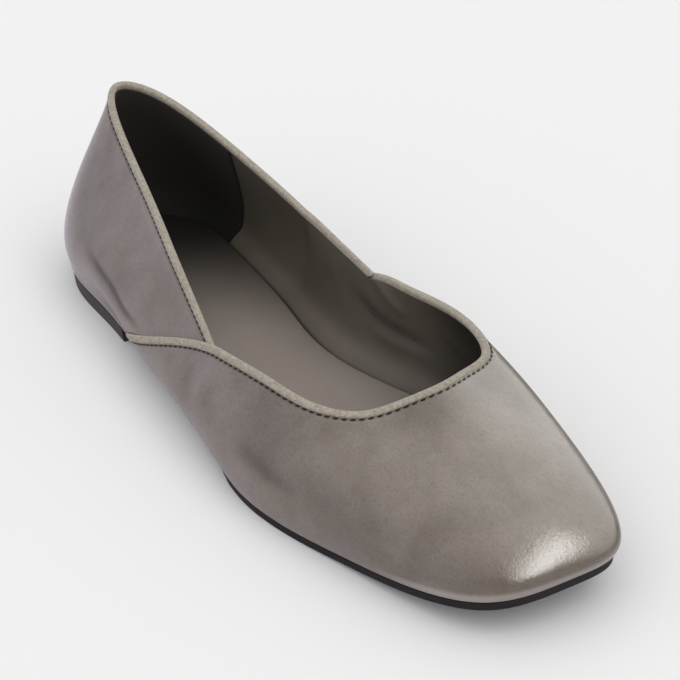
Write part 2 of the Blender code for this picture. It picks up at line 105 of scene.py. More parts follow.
# Slopes of the smooth cubic through knots: second derivatives agree at every knot, and the
# curve is closed, or free of bending at its two ends
def curveSlopes(knots, values, closed):
    count = len(knots)
    system = np.zeros((count, count))
    right = np.zeros(values.shape)
    steps = np.diff(knots)
    rises = np.diff(values, axis=0) / steps[:, None]
    inner = np.arange(1, count - 1)
    system[inner, inner - 1] = steps[1:]
    system[inner, inner] = 2.0 * (steps[:-1] + steps[1:])
    system[inner, inner + 1] = steps[:-1]
    right[inner] = 3.0 * (steps[1:, None] * rises[:-1] + steps[:-1, None] * rises[1:])
    if closed:
        system[0, [0, 1, -2]] = (2.0 * (steps[-1] + steps[0]), steps[-1], steps[0])
        right[0] = 3.0 * (steps[0] * rises[-1] + steps[-1] * rises[0])
        system[-1, [0, -1]] = (1.0, -1.0)
    else:
        system[0, :2] = (2.0, 1.0)
        right[0] = 3.0 * rises[0]
        system[-1, -2:] = (1.0, 2.0)
        right[-1] = 3.0 * rises[-1]
    return np.linalg.solve(system, right)


# Cubic Hermite value between the two knots round each place
def followCurve(curve, at):
    knots, values, slopes = curve
    index = np.clip(np.searchsorted(knots, at, side="right") - 1, 0, len(knots) - 2)
    step = (knots[index + 1] - knots[index])[..., None]
    t = (at - knots[index])[..., None] / step
    start = (1.0 + 2.0 * t) * (1.0 - t) ** 2 * values[index]
    end = t * t * (3.0 - 2.0 * t) * values[index + 1]
    leave = t * (1.0 - t) ** 2 * step * slopes[index]
    arrive = t * t * (t - 1.0) * step * slopes[index + 1]
    return start + end + leave + arrive


def makeCurve(knots, values, closed):
    return knots, values, curveSlopes(knots, values, closed)


planScale = (last["length"] / 100, last["ballWidth"] / 100)
featherRows = columnValues(("featherX", "featherY"), planScale)
topRows = columnValues(("topX", "topY", "topZ"), planScale + (last["backHeight"] / 100,))
pullRows = columnValues(("footTilt", "footPull", "topTilt", "topPull"), (1, 1, 1, 1))
rowChords = np.linalg.norm(np.diff(featherRows, axis=0), axis=1)
rowSpans = 0.5 * rowChords + 0.5 * rowChords.mean()   # half by chord, half even
places = np.concatenate([[0.0], np.cumsum(rowSpans) / rowSpans.sum()])
outerJoint = places[last["jointOuter"]]
innerJoint = places[last["jointInner"]]
featherCurve = makeCurve(places, featherRows, True)
pullCurve = makeCurve(places, pullRows, True)
throatRange = slice(last["jointOuter"], last["jointInner"] + 1)
throatCurve = makeCurve(places[throatRange], topRows[throatRange], False)
collarPlaces = np.concatenate([places[last["jointInner"]:-1] - 1, places[:last["jointOuter"] + 1]])
collarRows = np.vstack([topRows[last["jointInner"]:-1], topRows[:last["jointOuter"] + 1]])
collarCurve = makeCurve(collarPlaces, collarRows, False)


# From 0 to 1 with level ends: three t squared less two t cubed
def smoothStep(t):
    t = np.clip(t, 0.0, 1.0)
    return t * t * (3.0 - 2.0 * t)


# The same step, from the first of two ends to the second
def rampBetween(values, ends):
    return smoothStep((values - ends[0]) / (ends[1] - ends[0]))


# Vectors divided by their lengths
def unit(vectors):
    return vectors / np.linalg.norm(vectors, axis=-1, keepdims=True)


# Plan points or directions with a height as their third number
def lift(plan, height):
    return np.concatenate([plan, height[..., None]], axis=-1)


# Height of the sole's upper side: flat seat, smooth drop to the tread, then a parabola to the toe
def soleTop(x):
    drop = rampBetween(x, (last["seatEnd"], last["treadStart"]))
    spring = np.clip((x - last["springStart"]) / (last["length"] - last["springStart"]), 0, None)
    return (last["heelRise"] - (last["heelRise"] - last["soleThick"]) * drop
            + last["toeSpring"] * spring ** 2)


def soleBottom(x):
    return soleTop(x) - last["soleThick"]


# Feather edge in plan, where p runs once round the outline from the heel back
def feather(p):
    return followCurve(featherCurve, p % 1.0)


# Plan normal of the feather edge, its tangent turned by a right angle
def outward(p):
    step = last["slopeStep"]
    along = unit(feather(p + step) - feather(p - step))
    return np.stack([along[..., 1], -along[..., 0]], axis=-1)


# Collar and throat are two curves that meet at the joints
def topline(p):
    p = p % 1.0
    onThroat = (p >= outerJoint) & (p <= innerJoint)
    throat = followCurve(throatCurve, np.clip(p, outerJoint, innerJoint))
    q = np.where(p > 0.5, p - 1.0, p)
    collar = followCurve(collarCurve, np.clip(q, innerJoint - 1.0, outerJoint))
    return np.where(onThroat[..., None], throat, collar)


# The topline as a weighted mean over a short stretch, which rounds its joints
def softTopline(p):
    p = p % 1.0
    away = np.minimum(np.abs(p - outerJoint), np.abs(p - innerJoint))
    reach = np.clip(last["jointSoftness"] - away, 0.0, None)
    spread = np.linspace(-1.0, 1.0, last["jointSamples"])
    weights = 1.0 - last["jointFalloff"] * np.abs(spread)
    total = sum(w * topline(p + reach * d) for d, w in zip(spread, weights))
    return total / weights.sum()


# Skin of the upper, p round the outline and s from the feather edge to the topline: a cubic
# Bezier in each section, from the foot by the foot's pull and the topline's pull to the top
def skin(p, s):
    plan = feather(p)
    foot = lift(plan, soleTop(plan[..., 0]) + last["gap"])
    top = softTopline(p)
    out = outward(p)
    lean = unit(plan - top[..., :2] + last["shoulder"] * out)
    pulls = followCurve(pullCurve, p % 1.0)
    footTilt = np.radians(pulls[..., 0])
    topTilt = np.radians(pulls[..., 2])
    low = foot + lift(out * np.cos(footTilt)[..., None], np.sin(footTilt)) * pulls[..., 1:2]
    high = top + lift(lean * np.cos(topTilt)[..., None], -np.sin(topTilt)) * pulls[..., 3:4]
    t = s[..., None]
    return ((1 - t) ** 3 * foot + 3 * t * (1 - t) ** 2 * low
            + 3 * t * t * (1 - t) * high + t ** 3 * top)


# Slopes of the skin along p and along s, as central differences
def skinSlopes(p, s):
    step = last["slopeStep"]
    along = (skin(p + step, s) - skin(p - step, s)) / (2 * step)
    up = (skin(p, s + step) - skin(p, s - step)) / (2 * step)
    return along, up


# Outward normal: the cross product of the two slopes
def skinNormal(p, s):
    along, up = skinSlopes(p, s)
    return unit(np.cross(along, up))


# The s that lies a given depth below the true topline, measured square to it
def rimShare(p, depth):
    step = last["slopeStep"]
    up = skinSlopes(p, np.ones_like(p))[1]
    rim = unit(softTopline(p + step) - softTopline(p - step))
    square = up - (up * rim).sum(axis=-1, keepdims=True) * rim
    notch = softTopline(p)[..., 2] - topline(p)[..., 2]
    return 1.0 - notch / up[..., 2] - depth / np.linalg.norm(square, axis=-1)


# Place between two others where the vamp's edge meets the sole
def footPlace(low, high):
    tries = np.linspace(low, high, last["footTries"])
    return tries[np.argmin(np.abs(feather(tries)[:, 0] - last["vampFoot"] * last["length"] / 100))]


edgeEnds = {
    "outer": (footPlace(places[last["jointOuter"] - 2], outerJoint), outerJoint, 1.0),
    "inner": (footPlace(innerJoint, places[last["jointInner"] + 2]), innerJoint, -1.0),
}


# Place of the vamp's edge at height s: a line over the skin from its foot to the joint, with
# a parabola's bow forward
def edgeLine(side, s):
    foot, joint = edgeEnds[side][:2]
    return foot + (joint - foot) * (s + last["vampBow"] * s * (1.0 - s))


# The same edge, moved square to itself by some millimetres towards the toe
def edgePlace(side, s, shift):
    foot, joint, forward = edgeEnds[side]
    p = edgeLine(side, s)
    along, up = skinSlopes(p, np.clip(s, 0.0, 1.0))
    rate = (joint - foot) * (1.0 + last["vampBow"] * (1.0 - 2.0 * s))
    edge = unit(up + along * rate[..., None])
    across = along - (along * edge).sum(axis=-1, keepdims=True) * edge
    return p + forward * shift / np.linalg.norm(across, axis=-1)


# Length along a line of points: the running sum of its chords
def chordSums(points):
    chords = np.linalg.norm(np.diff(points, axis=0), axis=1)
    return np.concatenate([[0.0], np.cumsum(chords)])


# Each column of values, read at some lengths on straight lines between its points
def readAt(lengths, values, at):
    return np.stack([np.interp(at, lengths, column) for column in values.T], axis=-1)


# Where the shoe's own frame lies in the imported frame
outlinePoints = feather(np.linspace(0.0, 1.0, last["outlineSamples"], endpoint=False))
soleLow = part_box("outsole")[0]
shoeShift = np.array([soleLow.x / mm - outlinePoints[:, 0].min(),
                      soleLow.y / mm - outlinePoints[:, 1].min(), 0.0])
mergeWithin = 0.002 * mm      # points closer than this are one


def toFrame(points):
    return (np.asarray(points) + shoeShift) * mm


# Quads across a ring, each between two points and the two opposite them
def capQuads(size):
    k = np.arange(size // 2 - 1)
    return np.stack([k, k + 1, size - 2 - k, size - 1 - k], axis=-1)


# Quads between neighbouring rings of points, with a cap over each end
def ringQuads(rings, size, closed=False, caps=True):
    i = np.arange(size)
    j = (i + 1) % size
    near = np.arange(rings if closed else rings - 1)[:, None]
    far = (near + 1) % rings
    quads = [np.stack([near * size + i, near * size + j, far * size + j, far * size + i],
                      axis=-1).reshape(-1, 4)]
    if caps and not closed:
        cap = capQuads(size)
        quads += [cap, (rings - 1) * size + cap[:, ::-1]]
    return np.concatenate(quads)


# A piece from points and quads: doubles merged, faces turned outwards, edges sharp past an angle
def makePiece(name, points, quads, material, tone=None, sharpAngle=50.0):
    mesh = bpy.data.meshes.new(name)
    mesh.vertices.add(len(points))
    mesh.vertices.foreach_set("co", toFrame(points).astype(np.float32).ravel())
    mesh.loops.add(quads.size)
    mesh.loops.foreach_set("vertex_index", quads.astype(np.int32).ravel())
    mesh.polygons.add(len(quads))
    mesh.polygons.foreach_set("loop_start", np.arange(0, quads.size, 4, dtype=np.int32))
    if tone is not None:   # painted shade, and below 0 a painted reflection
        layer = mesh.attributes.new("tone", "FLOAT", "POINT")
        layer.data.foreach_set("value", tone.astype(np.float32).ravel())
    mesh.update(calc_edges=True)
    mesh.validate()
    joined = bmesh.new()
    joined.from_mesh(mesh)
    bmesh.ops.remove_doubles(joined, verts=joined.verts, dist=mergeWithin)
    bmesh.ops.recalc_face_normals(joined, faces=joined.faces)
    joined.to_mesh(mesh)
    joined.free()
    mesh.shade_smooth()
    mesh.set_sharp_from_angle(angle=math.radians(sharpAngle))
    mesh.materials.append(material)
    piece = bpy.data.objects.new(name, mesh)
    bpy.context.scene.collection.objects.link(piece)
    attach(piece, "root")
    print("made", name, len(mesh.vertices), "points")
    return piece


# Materials

# One hex sRGB colour as linear red, green, blue and alpha
def hexColour(text):
    values = [int(text[i:i + 2], 16) / 255 for i in (1, 3, 5)]
    linear = [v / 12.92 if v <= 0.04045 else ((v + 0.055) / 1.055) ** 2.4 for v in values]
    return (*linear, 1.0)


def perMetre(size):
    return 1.0 / (size * mm)   # texture scale for a feature of that many millimetres


# A node with its settings; an input is a value, a socket, or a node that gives its first output
def addNode(tree, kind, inputs=None, **settings):
    node = tree.nodes.new("ShaderNode" + kind)
    for key, value in settings.items():
        setattr(node, key, value)
    for socket, value in (inputs or {}).items():
        if isinstance(value, bpy.types.Node):
            value = next(output for output in value.outputs if output.enabled)
        if isinstance(value, bpy.types.NodeSocket):
            tree.links.new(value, node.inputs[socket])
        else:
            node.inputs[socket].default_value = value
    return node


# A new material with an empty node tree, and the Object coordinates that its patterns read
def startMaterial(name):
    material = bpy.data.materials.new(name)
    material.use_nodes = True
    tree = material.node_tree
    tree.nodes.clear()
    coords = addNode(tree, "TexCoord").outputs["Object"]
    return material, tree, coords


# Glazed calf: dyed taupe, rubbed by hand and polished under a clear glaze. Clouds of tone lie
# under a sharp gloss, and a fine pore breaks up the edge of each highlight. The piece's tone
# mixes in painted shade above 0, and below 0 a lighter painted reflection of the floor
def glazedLeather():
    look = {
        "dark": "#625848",
        "light": "#7a7065",
        "paintedShade": "#2a221a",
        "pore": "#4a4034",
        "pale": "#b3aaa2",
        "cloud": 26,          # sizes in millimetres
        "mottle": 7,
        "grain": 0.7,         # real pores are finer: as coarse as they need to show
        "upright": 0.4,       # clouds drawn out up the sides
        "uneven": 0.45,       # heights in millimetres
        "grainHeight": 0.09,
    }
    material, tree, coords = startMaterial("glazed_calf")
    drawn = addNode(tree, "Mapping", {"Vector": coords, "Scale": (1, 1, look["upright"])})
    clouds = addNode(tree, "TexNoise", {"Vector": drawn, "Scale": perMetre(look["cloud"]), "Detail": 4.0,
                                        "Roughness": 0.6, "Distortion": 0.7})
    mottle = addNode(tree, "TexNoise", {"Vector": coords, "Scale": perMetre(look["mottle"]), "Detail": 4.0,
                                        "Roughness": 0.65})
    grain = addNode(tree, "TexNoise", {"Vector": coords, "Scale": perMetre(look["grain"]), "Detail": 3.0,
                                       "Roughness": 0.65})
    rubbed = addNode(tree, "Mix", {"Factor": 0.4, "A": clouds, "B": mottle})
    share = addNode(tree, "MapRange", {"Value": rubbed, "From Min": 0.33, "From Max": 0.67})
    base = addNode(tree, "Mix", {"Factor": share, "A": hexColour(look["dark"]),
                                 "B": hexColour(look["light"])}, data_type="RGBA")
    pores = addNode(tree, "MapRange", {"Value": grain, "From Min": 0.5, "From Max": 0.3, "To Max": 0.45})
    pored = addNode(tree, "Mix", {"Factor": pores, "A": base, "B": hexColour(look["pore"])},
                    data_type="RGBA")
    tone = addNode(tree, "Attribute", attribute_name="tone").outputs["Fac"]
    # Painted shade, mixed in by the tone above 0
    shadedColour = addNode(tree, "Mix", {"Factor": tone, "A": pored, "B": hexColour(look["paintedShade"])},
                        data_type="RGBA")
    # Painted reflection of the floor, mixed in by the tone below 0
    reflectionShare = addNode(tree, "MapRange", {"Value": tone, "From Min": 0.0, "From Max": -1.0})
    colour = addNode(tree, "Mix", {"Factor": reflectionShare, "A": shadedColour, "B": hexColour(look["pale"])},
                     data_type="RGBA")
    gloss = addNode(tree, "MapRange", {"Value": rubbed, "To Min": 0.3, "To Max": 0.52})
    evenGlaze = addNode(tree, "MapRange", {"Value": rubbed, "From Min": 0.35, "From Max": 0.65,
                                           "To Min": 0.78, "To Max": 1.0})
    glaze = addNode(tree, "MapRange", {"Value": tone, "To Min": evenGlaze, "To Max": 0.3})   # less glaze where the tone paints shade
    uneven = addNode(tree, "Bump", {"Height": rubbed, "Strength": 0.7, "Distance": look["uneven"] * mm})
    bump = addNode(tree, "Bump", {"Height": grain, "Strength": 0.9, "Distance": look["grainHeight"] * mm,
                                  "Normal": uneven})
    shader = addNode(tree, "BsdfPrincipled", {
        "Base Color": colour, "Roughness": gloss, "IOR": 1.5, "Specular IOR Level": 0.4,
        "Coat Weight": glaze, "Coat Roughness": 0.05, "Coat IOR": 1.5, "Normal": bump, "Coat Normal": bump})
    addNode(tree, "OutputMaterial", {"Surface": shader})
    return material


# Split suede: the buffed flesh side of the hide, matt, with a short nap that speckles it
def suedeBinding():
    look = {
        "dark": "#7d7568",
        "light": "#b0a89a",
        "nap": 1.0,           # millimetres; the real nap is finer: as coarse as it needs to show
        "napHeight": 0.25,
    }
    material, tree, coords = startMaterial("split_suede")
    nap = addNode(tree, "TexNoise", {"Vector": coords, "Scale": perMetre(look["nap"]), "Detail": 5.0,
                                     "Roughness": 0.8})
    lie = addNode(tree, "MapRange", {"Value": nap, "From Min": 0.32, "From Max": 0.66})
    speckle = addNode(tree, "Mix", {"Factor": lie, "A": hexColour(look["dark"]),
                                    "B": hexColour(look["light"])}, data_type="RGBA")
    bump = addNode(tree, "Bump", {"Height": nap, "Strength": 0.9, "Distance": look["napHeight"] * mm})
    shader = addNode(tree, "BsdfPrincipled", {
        "Base Color": speckle, "Roughness": 0.9, "IOR": 1.45, "Sheen Weight": 0.25, "Sheen Roughness": 0.4,
        "Normal": bump})
    addNode(tree, "OutputMaterial", {"Surface": shader})
    return material


# Lining leather, dyed through and left matt: calf with a faint grain, or suede where it is rougher.
# The tone of the piece darkens it with painted shade, and on the heel lining marks its dark seam
def liningLeather(name, dark, light, roughness):
    look = {
        "shadeAndSeam": "#12100e",
        "cloud": 18,          # sizes in millimetres
        "grain": 0.8,
        "grainHeight": 0.06,
    }
    material, tree, coords = startMaterial(name)
    clouds = addNode(tree, "TexNoise", {"Vector": coords, "Scale": perMetre(look["cloud"]), "Detail": 5.0,
                                        "Roughness": 0.6})
    grain = addNode(tree, "TexNoise", {"Vector": coords, "Scale": perMetre(look["grain"]), "Detail": 2.0})
    colour = addNode(tree, "Mix", {"Factor": clouds, "A": hexColour(dark), "B": hexColour(light)},
                     data_type="RGBA")
    tone = addNode(tree, "Attribute", attribute_name="tone").outputs["Fac"]
    shadeAndSeam = addNode(tree, "Mix", {"Factor": tone, "A": colour, "B": hexColour(look["shadeAndSeam"])},
                   data_type="RGBA")
    bump = addNode(tree, "Bump", {"Height": grain, "Strength": 0.3, "Distance": look["grainHeight"] * mm})
    shader = addNode(tree, "BsdfPrincipled", {
        "Base Color": shadeAndSeam, "Roughness": roughness, "IOR": 1.45, "Normal": bump})
    addNode(tree, "OutputMaterial", {"Surface": shader})
    return material


# Moulded rubber, charcoal and half matt, with a fine grit
def mouldedRubber(name, dark, light):
    look = {"grit": 0.7, "gritHeight": 0.08}   # millimetres
    material, tree, coords = startMaterial(name)
    grit = addNode(tree, "TexNoise", {"Vector": coords, "Scale": perMetre(look["grit"]), "Detail": 3.0,
                                      "Roughness": 0.65})
    colour = addNode(tree, "Mix", {"Factor": grit, "A": hexColour(dark), "B": hexColour(light)},
                     data_type="RGBA")
    bump = addNode(tree, "Bump", {"Height": grit, "Strength": 0.4, "Distance": look["gritHeight"] * mm})
    shader = addNode(tree, "BsdfPrincipled", {
        "Base Color": colour, "Roughness": 0.6, "IOR": 1.52, "Specular IOR Level": 0.25, "Normal": bump})
    addNode(tree, "OutputMaterial", {"Surface": shader})
    return material


# Waxed polyester thread, twisted, dark brown
def waxedThread():
    look = {"dark": "#1a130b", "light": "#33281c", "ply": 0.35}   # ply in millimetres
    material, tree, coords = startMaterial("waxed_thread")
    ply = addNode(tree, "TexNoise", {"Vector": coords, "Scale": perMetre(look["ply"]), "Detail": 2.0})
    colour = addNode(tree, "Mix", {"Factor": ply, "A": hexColour(look["dark"]),
                                   "B": hexColour(look["light"])}, data_type="RGBA")
    shader = addNode(tree, "BsdfPrincipled", {
        "Base Color": colour, "Roughness": 0.7, "IOR": 1.5, "Specular IOR Level": 0.15})
    addNode(tree, "OutputMaterial", {"Surface": shader})
    return material


upperLeather = glazedLeather()
bindingSuede = suedeBinding()
frontLiningLeather = liningLeather("lining_calf", "#585146", "#6d655a", 0.55)
heelLiningLeather = liningLeather("heel_lining_suede", "#221e1a", "#2f2a25", 0.85)
sockLeather = liningLeather("sock_calf", "#796f66", "#877d74", 0.5)
soleRubber = mouldedRubber("sole_moulding", "#100f0f", "#1c1a1a")
heelRubber = mouldedRubber("heel_moulding", "#393435", "#4f494a")
thread = waxedThread()
print("materials done")


# Layers of the wall, as depths below the skin
wall = {
    "leather": 0.95,
    "lining": 0.35,
    "whole": 1.8,
    "lapStep": 1.0,           # the vamp's thickness where it lies over the quarter
    "lapLining": 0.3,         # how far the lap swells the inside
    "lapFade": 0.085,         # share of the outline over which the lap fades out
    "skivedLeather": 0.6,     # the quarter's thickness under the vamp
    "flushHeight": 9.0,       # the quarter comes out flush with the sole below this height,
    "flushFrom": 0.8,         # from here behind the vamp's edge, over the next run
    "flushRun": 3.0,
    "lasting": 4.2,           # lining measured in from the feather edge
    "lastingShare": 0.25,
    "featherRound": 0.4,      # radius at which the leather turns under at the sole
    "settle": 0.27,           # how far its lowest edge comes down onto the sole
    "heelSettle": 1.5,        # the same round the heel, where it laps the sole's edge
    "heelProud": 0.12,
    "heelEnds": (66.0, 78.0),     # where that lap fades out, along the foot
    "settleOver": 1.2,
    "foldsFrom": 0.06,        # share of the height below which the folds fade out
    "packAlong": {"low": 0.03, "high": 0.03, "pull": 2.0},   # closer points towards each edge
    "packUp": {"low": 0.05, "high": 0.06, "pull": 4.0},
}
binding = {
    "width": 2.4,
    "proud": 0.4,
    "depth": 1.9,             # below the skin, where the band wraps the wall
    "tuck": 0.45,             # how far leather and lining run in under a band
    "steps": 520,
    "roundSteps": 28,
    "squareness": 2.7,        # exponent of the section's oval; 2 is an ellipse
    "endRound": 1.1,
    "edgeFoot": 0.05,         # height on the vamp's edge where the band starts
    "edgeTop": 0.77,          # and of the last knot below the joint
    "edgeKnots": 7,
    "throatKnots": 11,
    "throatMargin": 0.03,     # from a joint to the first knot of the throat
    "overlap": 0.3,           # where the collar's band ends under the vamp's, from its middle
    "wrapStart": 0.45,        # share of the wrap already made where the bands meet
    "wrapRun": 0.012,         # share of the outline over which the band wraps the wall
    "runSamples": 1200,
    "pack": {"low": 0.004, "high": 0.004, "pull": 6.0},   # closer rings towards each end
}
stitches = {
    "pitch": 2.5,
    "length": 2.05,
    "radius": 0.17,
    "beside": 0.36,           # from the band's edge to the thread
    "sink": 0.12,
    "rise": 0.16,
    "slant": 0.1,             # radians off the seam's line, as a lock stitch lies
    "dip": 0.24,              # trough that the seam pulls in the leather
    "dipWidth": 0.6,
    "pucker": 0.4,
    "shade": 0.5,             # painted shade in the leather along the seam's trough
    "vampClear": 1.5,         # bare length at the ends of each seam
    "collarClear": 2.6,
    "nearby": 9.0,            # the trough is worked out this close to the seam
    "coarse": 24,             # every so many of the seam's points, to find what is near
    "fine": 2,                # and to measure it
    "settleTurns": 4,         # steps that set the seam down on the skin
    "steps": 8,               # rings and sides of one stitch
    "sides": 6,
    "bluntness": 5,           # exponent of the taper at its ends
}


# 1 at the vamp's edge, falling smoothly to 0 on both sides of it
def lapShare(p, s):
    away = np.full(np.shape(p), 1.0)
    for side in edgeEnds:
        away = np.minimum(away, np.abs((p - edgeLine(side, s) + 0.5) % 1.0 - 0.5))
    return 1.0 - smoothStep(away / wall["lapFade"])


# How far the quarter is back at the skin: near the sole, and clear of the vamp's edge
def flushShare(p, s):
    along = np.linalg.norm(skinSlopes(p, s)[0], axis=-1)
    behind = np.full(np.shape(p), last["length"])
    for side, (foot, joint, forward) in edgeEnds.items():
        turn = (edgeLine(side, s) - p + 0.5) % 1.0 - 0.5
        behind = np.minimum(behind, turn * forward * along)
    height = skin(p, s)[..., 2] - soleTop(feather(p)[..., 0])
    clear = rampBetween(behind, (wall["flushFrom"], wall["flushFrom"] + wall["flushRun"]))
    return clear * (1.0 - smoothStep(height / wall["flushHeight"]))


# Rows from 0 to 1, packed closer at both ends: the running sum of a density that rises there
def packedRows(count, low, high, pull):
    v = np.linspace(0.0, 1.0, count * 8)   # eight samples to a row
    density = 1.0 + pull * np.exp(-v / low) + pull * np.exp(-(1.0 - v) / high)
    place = np.concatenate([[0.0], np.cumsum(0.5 * (density[1:] + density[:-1]))])
    return np.interp(np.linspace(0.0, 1.0, count), place / place[-1], v)


# Soft folds, listed one by one, each as side, depth, width, shade and line. A line's points are x along
# the foot and z above the floor. Depth is below the surface, so a ridge has a minus sign
# The shade column is painted shade in the colour along each line, some lines with no depth
quarterFolds = (
    (-1, 0.4, 1.25, 0.9, ((38, 23.6), (46, 22.8), (55, 21.8), (64, 20.9), (73, 18.9), (82, 18.4), (90, 18))),
    (-1, -0.5, 2.6, 0.0, ((36, 19.4), (52, 17.8), (63, 16.8), (72, 15.0), (80, 14.4))),
    (-1, 0.1, 6.0, 0.22, ((14, 46), (22, 34), (34, 25), (48, 23))),
    (-1, 0.2, 4.0, 0.05, ((58, 33), (66, 27), (76, 23))),
    (1, 0.35, 2.6, 0.1, ((27, 48), (30, 36), (31, 24))),
    (1, -0.3, 2.8, 0.0, ((34, 46), (37, 34), (38, 22))),
    (1, 0.3, 2.8, 0.1, ((42, 42), (45, 32), (46, 20))),
    (1, 0.22, 3.6, 0.05, ((58, 34), (64, 27), (74, 20))),
)
vampFolds = (
    (-1, 0.3, 2.3, 0.4, ((152, 19.2), (160, 18.2), (168, 17.3), (177, 16.6), (186, 16.4))),
    (-1, -0.25, 2.4, 0.0, ((156, 14.6), (166, 13.8), (178, 13.2))),
    (-1, 0.1, 6.5, 0.22, ((150, 28), (162, 24), (176, 19))),
    (-1, 0.0, 6.5, 0.22, ((174, 19), (192, 16.5), (208, 14), (222, 12))),
    (-1, 0.28, 3.6, 0.1, ((118, 24), (124, 19), (127, 14))),
    (-1, 0.22, 4.4, 0.1, ((131, 26), (138, 20), (142, 14))),
    (1, 0.35, 4.0, 0.1, ((118, 24), (125, 18), (128, 13))),
    (1, 0.35, 4.4, 0.1, ((150, 24), (158, 19), (164, 14))),
    (1, -0.2, 4.4, 0.0, ((160, 25), (169, 20), (175, 15))),
)
liningFolds = (
    (1, 0.55, 1.5, 0.0, ((116, 30.5), (127, 27.2), (137, 23.5))),
    (1, -0.4, 2.2, 0.25, ((108, 24), (122, 20), (136, 18), (148, 17.5))),
    (1, 0.45, 2.2, 0.0, ((120, 15.5), (134, 14), (150, 13.5))),
    (1, 0.35, 3.0, 0.0, ((96, 30), (104, 22), (108, 14))),
    (1, 0.35, 2.6, 0.0, ((146, 27), (158, 22), (166, 20))),
)
foldShape = {
    "samples": 48,            # points on a fold's line
    "endFade": 0.3,           # share of the line over which each end fades
    "sideFade": 8.0,          # millimetres from the middle plane to its full depth
}


# 1 at no distance, falling off as a bell curve of some width
def bell(away, width):
    return np.exp(-(away / width) ** 2)


# Sum of troughs: depth times the bell curve of the distance to each line in side view,
# faded towards the line's two ends and off the other side of the shoe; and their painted shade
def foldMarks(points, folds):
    depths = np.zeros(points.shape[:-1])
    shades = np.zeros(points.shape[:-1])
    t = np.linspace(0.0, 1.0, foldShape["samples"])
    fade = smoothStep(t / foldShape["endFade"]) * smoothStep((1.0 - t) / foldShape["endFade"])
    for side, depth, width, shade, line in folds:
        knots = np.array(line, dtype=float)
        curve = makeCurve(np.linspace(0.0, 1.0, len(knots)), knots, False)
        away = np.linalg.norm(points[..., None, [0, 2]] - followCurve(curve, t), axis=-1)
        onSide = smoothStep(side * points[..., 1] / foldShape["sideFade"])
        mark = fade[away.argmin(axis=-1)] * onSide * bell(away.min(axis=-1), width)
        depths += depth * mark
        shades += shade * mark
    return depths, shades


# Trough along a seam, deeper at each needle hole: a bell curve of the distance to the seam
def seamDip(points, seam):
    coarse, fine = stitches["coarse"], stitches["fine"]
    flat = points.reshape(-1, 3)
    dip = np.zeros(len(flat))
    rough = np.min(np.linalg.norm(flat[:, None] - seam[None, ::coarse], axis=-1), axis=1)
    near = np.flatnonzero(rough < stitches["nearby"])
    away = np.linalg.norm(flat[near, None] - seam[None, ::fine], axis=-1)
    at = chordSums(seam)[::fine][away.argmin(axis=1)]
    holes = 1.0 - stitches["pucker"] * np.cos(2 * np.pi * at / stitches["pitch"])
    dip[near] = stitches["dip"] * holes * bell(away.min(axis=1), stitches["dipWidth"])
    return dip.reshape(points.shape[:-1])


# Run along the vamp's edge, up from the sole, round the throat and down again: the smooth
# cubic through points of the edge and of the topline, with their places on the skin
def vampRun():
    climb = np.linspace(binding["edgeFoot"], binding["edgeTop"], binding["edgeKnots"])
    fall = climb[::-1]
    outerEdge = edgePlace("outer", climb, 0.0)
    innerEdge = edgePlace("inner", fall, 0.0)
    margin = binding["throatMargin"]
    between = np.linspace(outerJoint + margin, innerJoint - margin, binding["throatKnots"])
    throat = np.concatenate([[outerJoint], between, [innerJoint]])
    points = np.vstack([skin(outerEdge, climb), topline(throat), skin(innerEdge, fall)])
    knotsP = np.concatenate([outerEdge, throat, innerEdge])
    knotsS = np.concatenate([climb, rimShare(throat, 0.0), fall])
    knots = chordSums(points)
    curve = makeCurve(knots, np.column_stack([points, knotsP, knotsS]), False)
    run = followCurve(curve, np.linspace(0.0, knots[-1], binding["runSamples"]))
    return run[:, :3], run[:, 3], run[:, 4]


# Run along the collar's topline, round the heel from joint to joint
def collarRun():
    p = np.linspace(innerJoint, 1.0 + outerJoint, binding["runSamples"])
    return topline(p), p, rimShare(p, 0.0)


# Line on the leather beside a band: the band's path moved square to itself, towards the
# leather, and set down on the skin by its nearest place there
def seamRun(run, beside, surface, clear):
    path, p, s = run
    lengths = chordSums(path)
    keep = (lengths > clear) & (lengths < lengths[-1] - clear)
    along = unit(np.gradient(path, axis=0))
    across = unit(np.cross(skinNormal(p, s), along))
    wanted = (path + across * beside)[keep]
    p, s = p[keep], s[keep]
    for turn in range(stitches["settleTurns"]):   # Newton steps over the skin
        miss = wanted - surface(p, s)
        east, north = skinSlopes(p, s)
        ee, en, nn = ((a * b).sum(-1) for a, b in ((east, east), (east, north), (north, north)))
        me, mn = (miss * east).sum(-1), (miss * north).sum(-1)
        area = ee * nn - en * en
        p = p + (me * nn - mn * en) / area
        s = s + (mn * ee - me * en) / area
    return p, s


halfBand = 0.5 * binding["width"]
underBand = halfBand - binding["tuck"]      # where leather and lining end, below a band's middle
stitchLine = halfBand + stitches["beside"]


# Skin of the quarter, lowered by the vamp's thickness towards the vamp's edge
def quarterSkin(p, s):
    return skin(p, s) - skinNormal(p, s) * (wall["lapStep"] * lapShare(p, s))[..., None]


vampSeam = seamRun(vampRun(), -stitchLine, skin, stitches["vampClear"])
collarSeam = seamRun(collarRun(), -stitchLine, quarterSkin, stitches["collarClear"])


